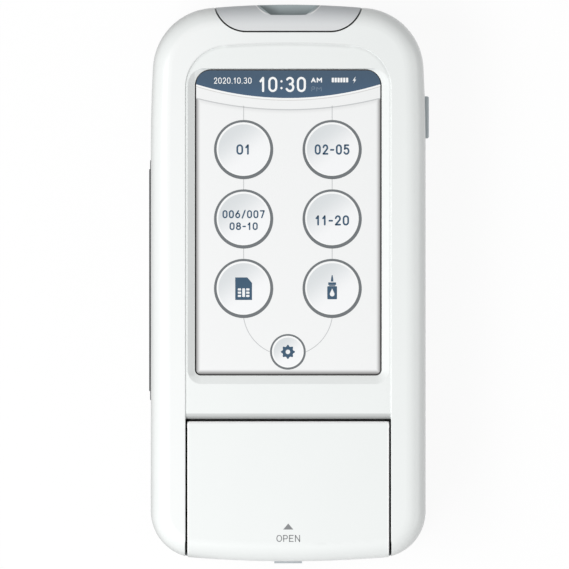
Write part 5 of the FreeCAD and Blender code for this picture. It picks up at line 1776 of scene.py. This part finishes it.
floor_mesh = bpy.data.meshes.new("table_top")
floor_mesh.from_pydata(
    [(x * floor_half, y * floor_half, 0.0) for x, y in ((-1, -1), (1, -1), (1, 1), (-1, 1))],
    [], [(0, 1, 2, 3)])
floor_mesh.materials.append(floor_finish().material)
floor = bpy.data.objects.new("table_top", floor_mesh)
bpy.context.scene.collection.objects.link(floor)

# %% Sky
sky_strength = 0.36
world = bpy.data.worlds.new("sky")
world.use_nodes = True
sky = Tree(world.node_tree)
background = world.node_tree.nodes["Background"]
sky.feed(background.inputs["Color"], WHITE)
to_camera = sky.node("ShaderNodeLightPath", output="Is Camera Ray")
sky.feed(background.inputs["Strength"], sky.node(
    "ShaderNodeMapRange", values={"Value": to_camera, "To Min": sky_strength, "To Max": 1.0}))
bpy.context.scene.world = world
print("sky at", sky_strength, "and white to the camera")

# %% Lamps
lamp_distance = 0.9
lamp_length, lamp_width = 0.9, 0.35
# name: where it stands, as azimuth and elevation, and how bright it makes a white sheet facing it
lamps = {"left_lamp": (207, 55, 0.84), "right_fill": (2, 18, 0.18)}

for name, (azimuth, elevation, share) in lamps.items():
    light = bpy.data.lights.new(name, "AREA")
    light.shape = "RECTANGLE"
    light.size = lamp_length
    light.size_y = lamp_width
    light.energy = share * (math.pi * lamp_distance) ** 2
    lamp = bpy.data.objects.new(name, light)
    turn, rise = math.radians(azimuth), math.radians(elevation)
    way = Vector((math.cos(turn) * math.cos(rise), math.sin(turn) * math.cos(rise),
                  math.sin(rise)))
    lamp.location = way * lamp_distance
    lamp.rotation_euler = way.to_track_quat("Z", "Y").to_euler()
    lamp.visible_camera = False
    bpy.context.scene.collection.objects.link(lamp)
    print(name, "at", [round(c, 2) for c in lamp.location], round(light.energy, 2), "W")

# %% [markdown]
# ## The camera
#
# The camera looks straight down from far away through a very long lens, so the sides of the case
# don't show and the small tab at the bottom end still does.

# %% Camera
front_height = packed_box[1].z
seen_width = 161.3 * MM
seen_middle = (-1.06 * MM, -0.43 * MM)
long_lens = 1000.0
farthest_seen = 50.0
camera_data = bpy.data.cameras.new("camera")
camera_data.lens = long_lens
camera_data.clip_end = farthest_seen
camera = bpy.data.objects.new("camera", camera_data)
camera_rise = seen_width * camera_data.lens / camera_data.sensor_width
camera.location = (*seen_middle, front_height + camera_rise)
bpy.context.scene.collection.objects.link(camera)
bpy.context.scene.camera = camera
bpy.context.scene.view_settings.view_transform = "Standard"
print("camera", round(camera_rise, 2), "m over the glass")
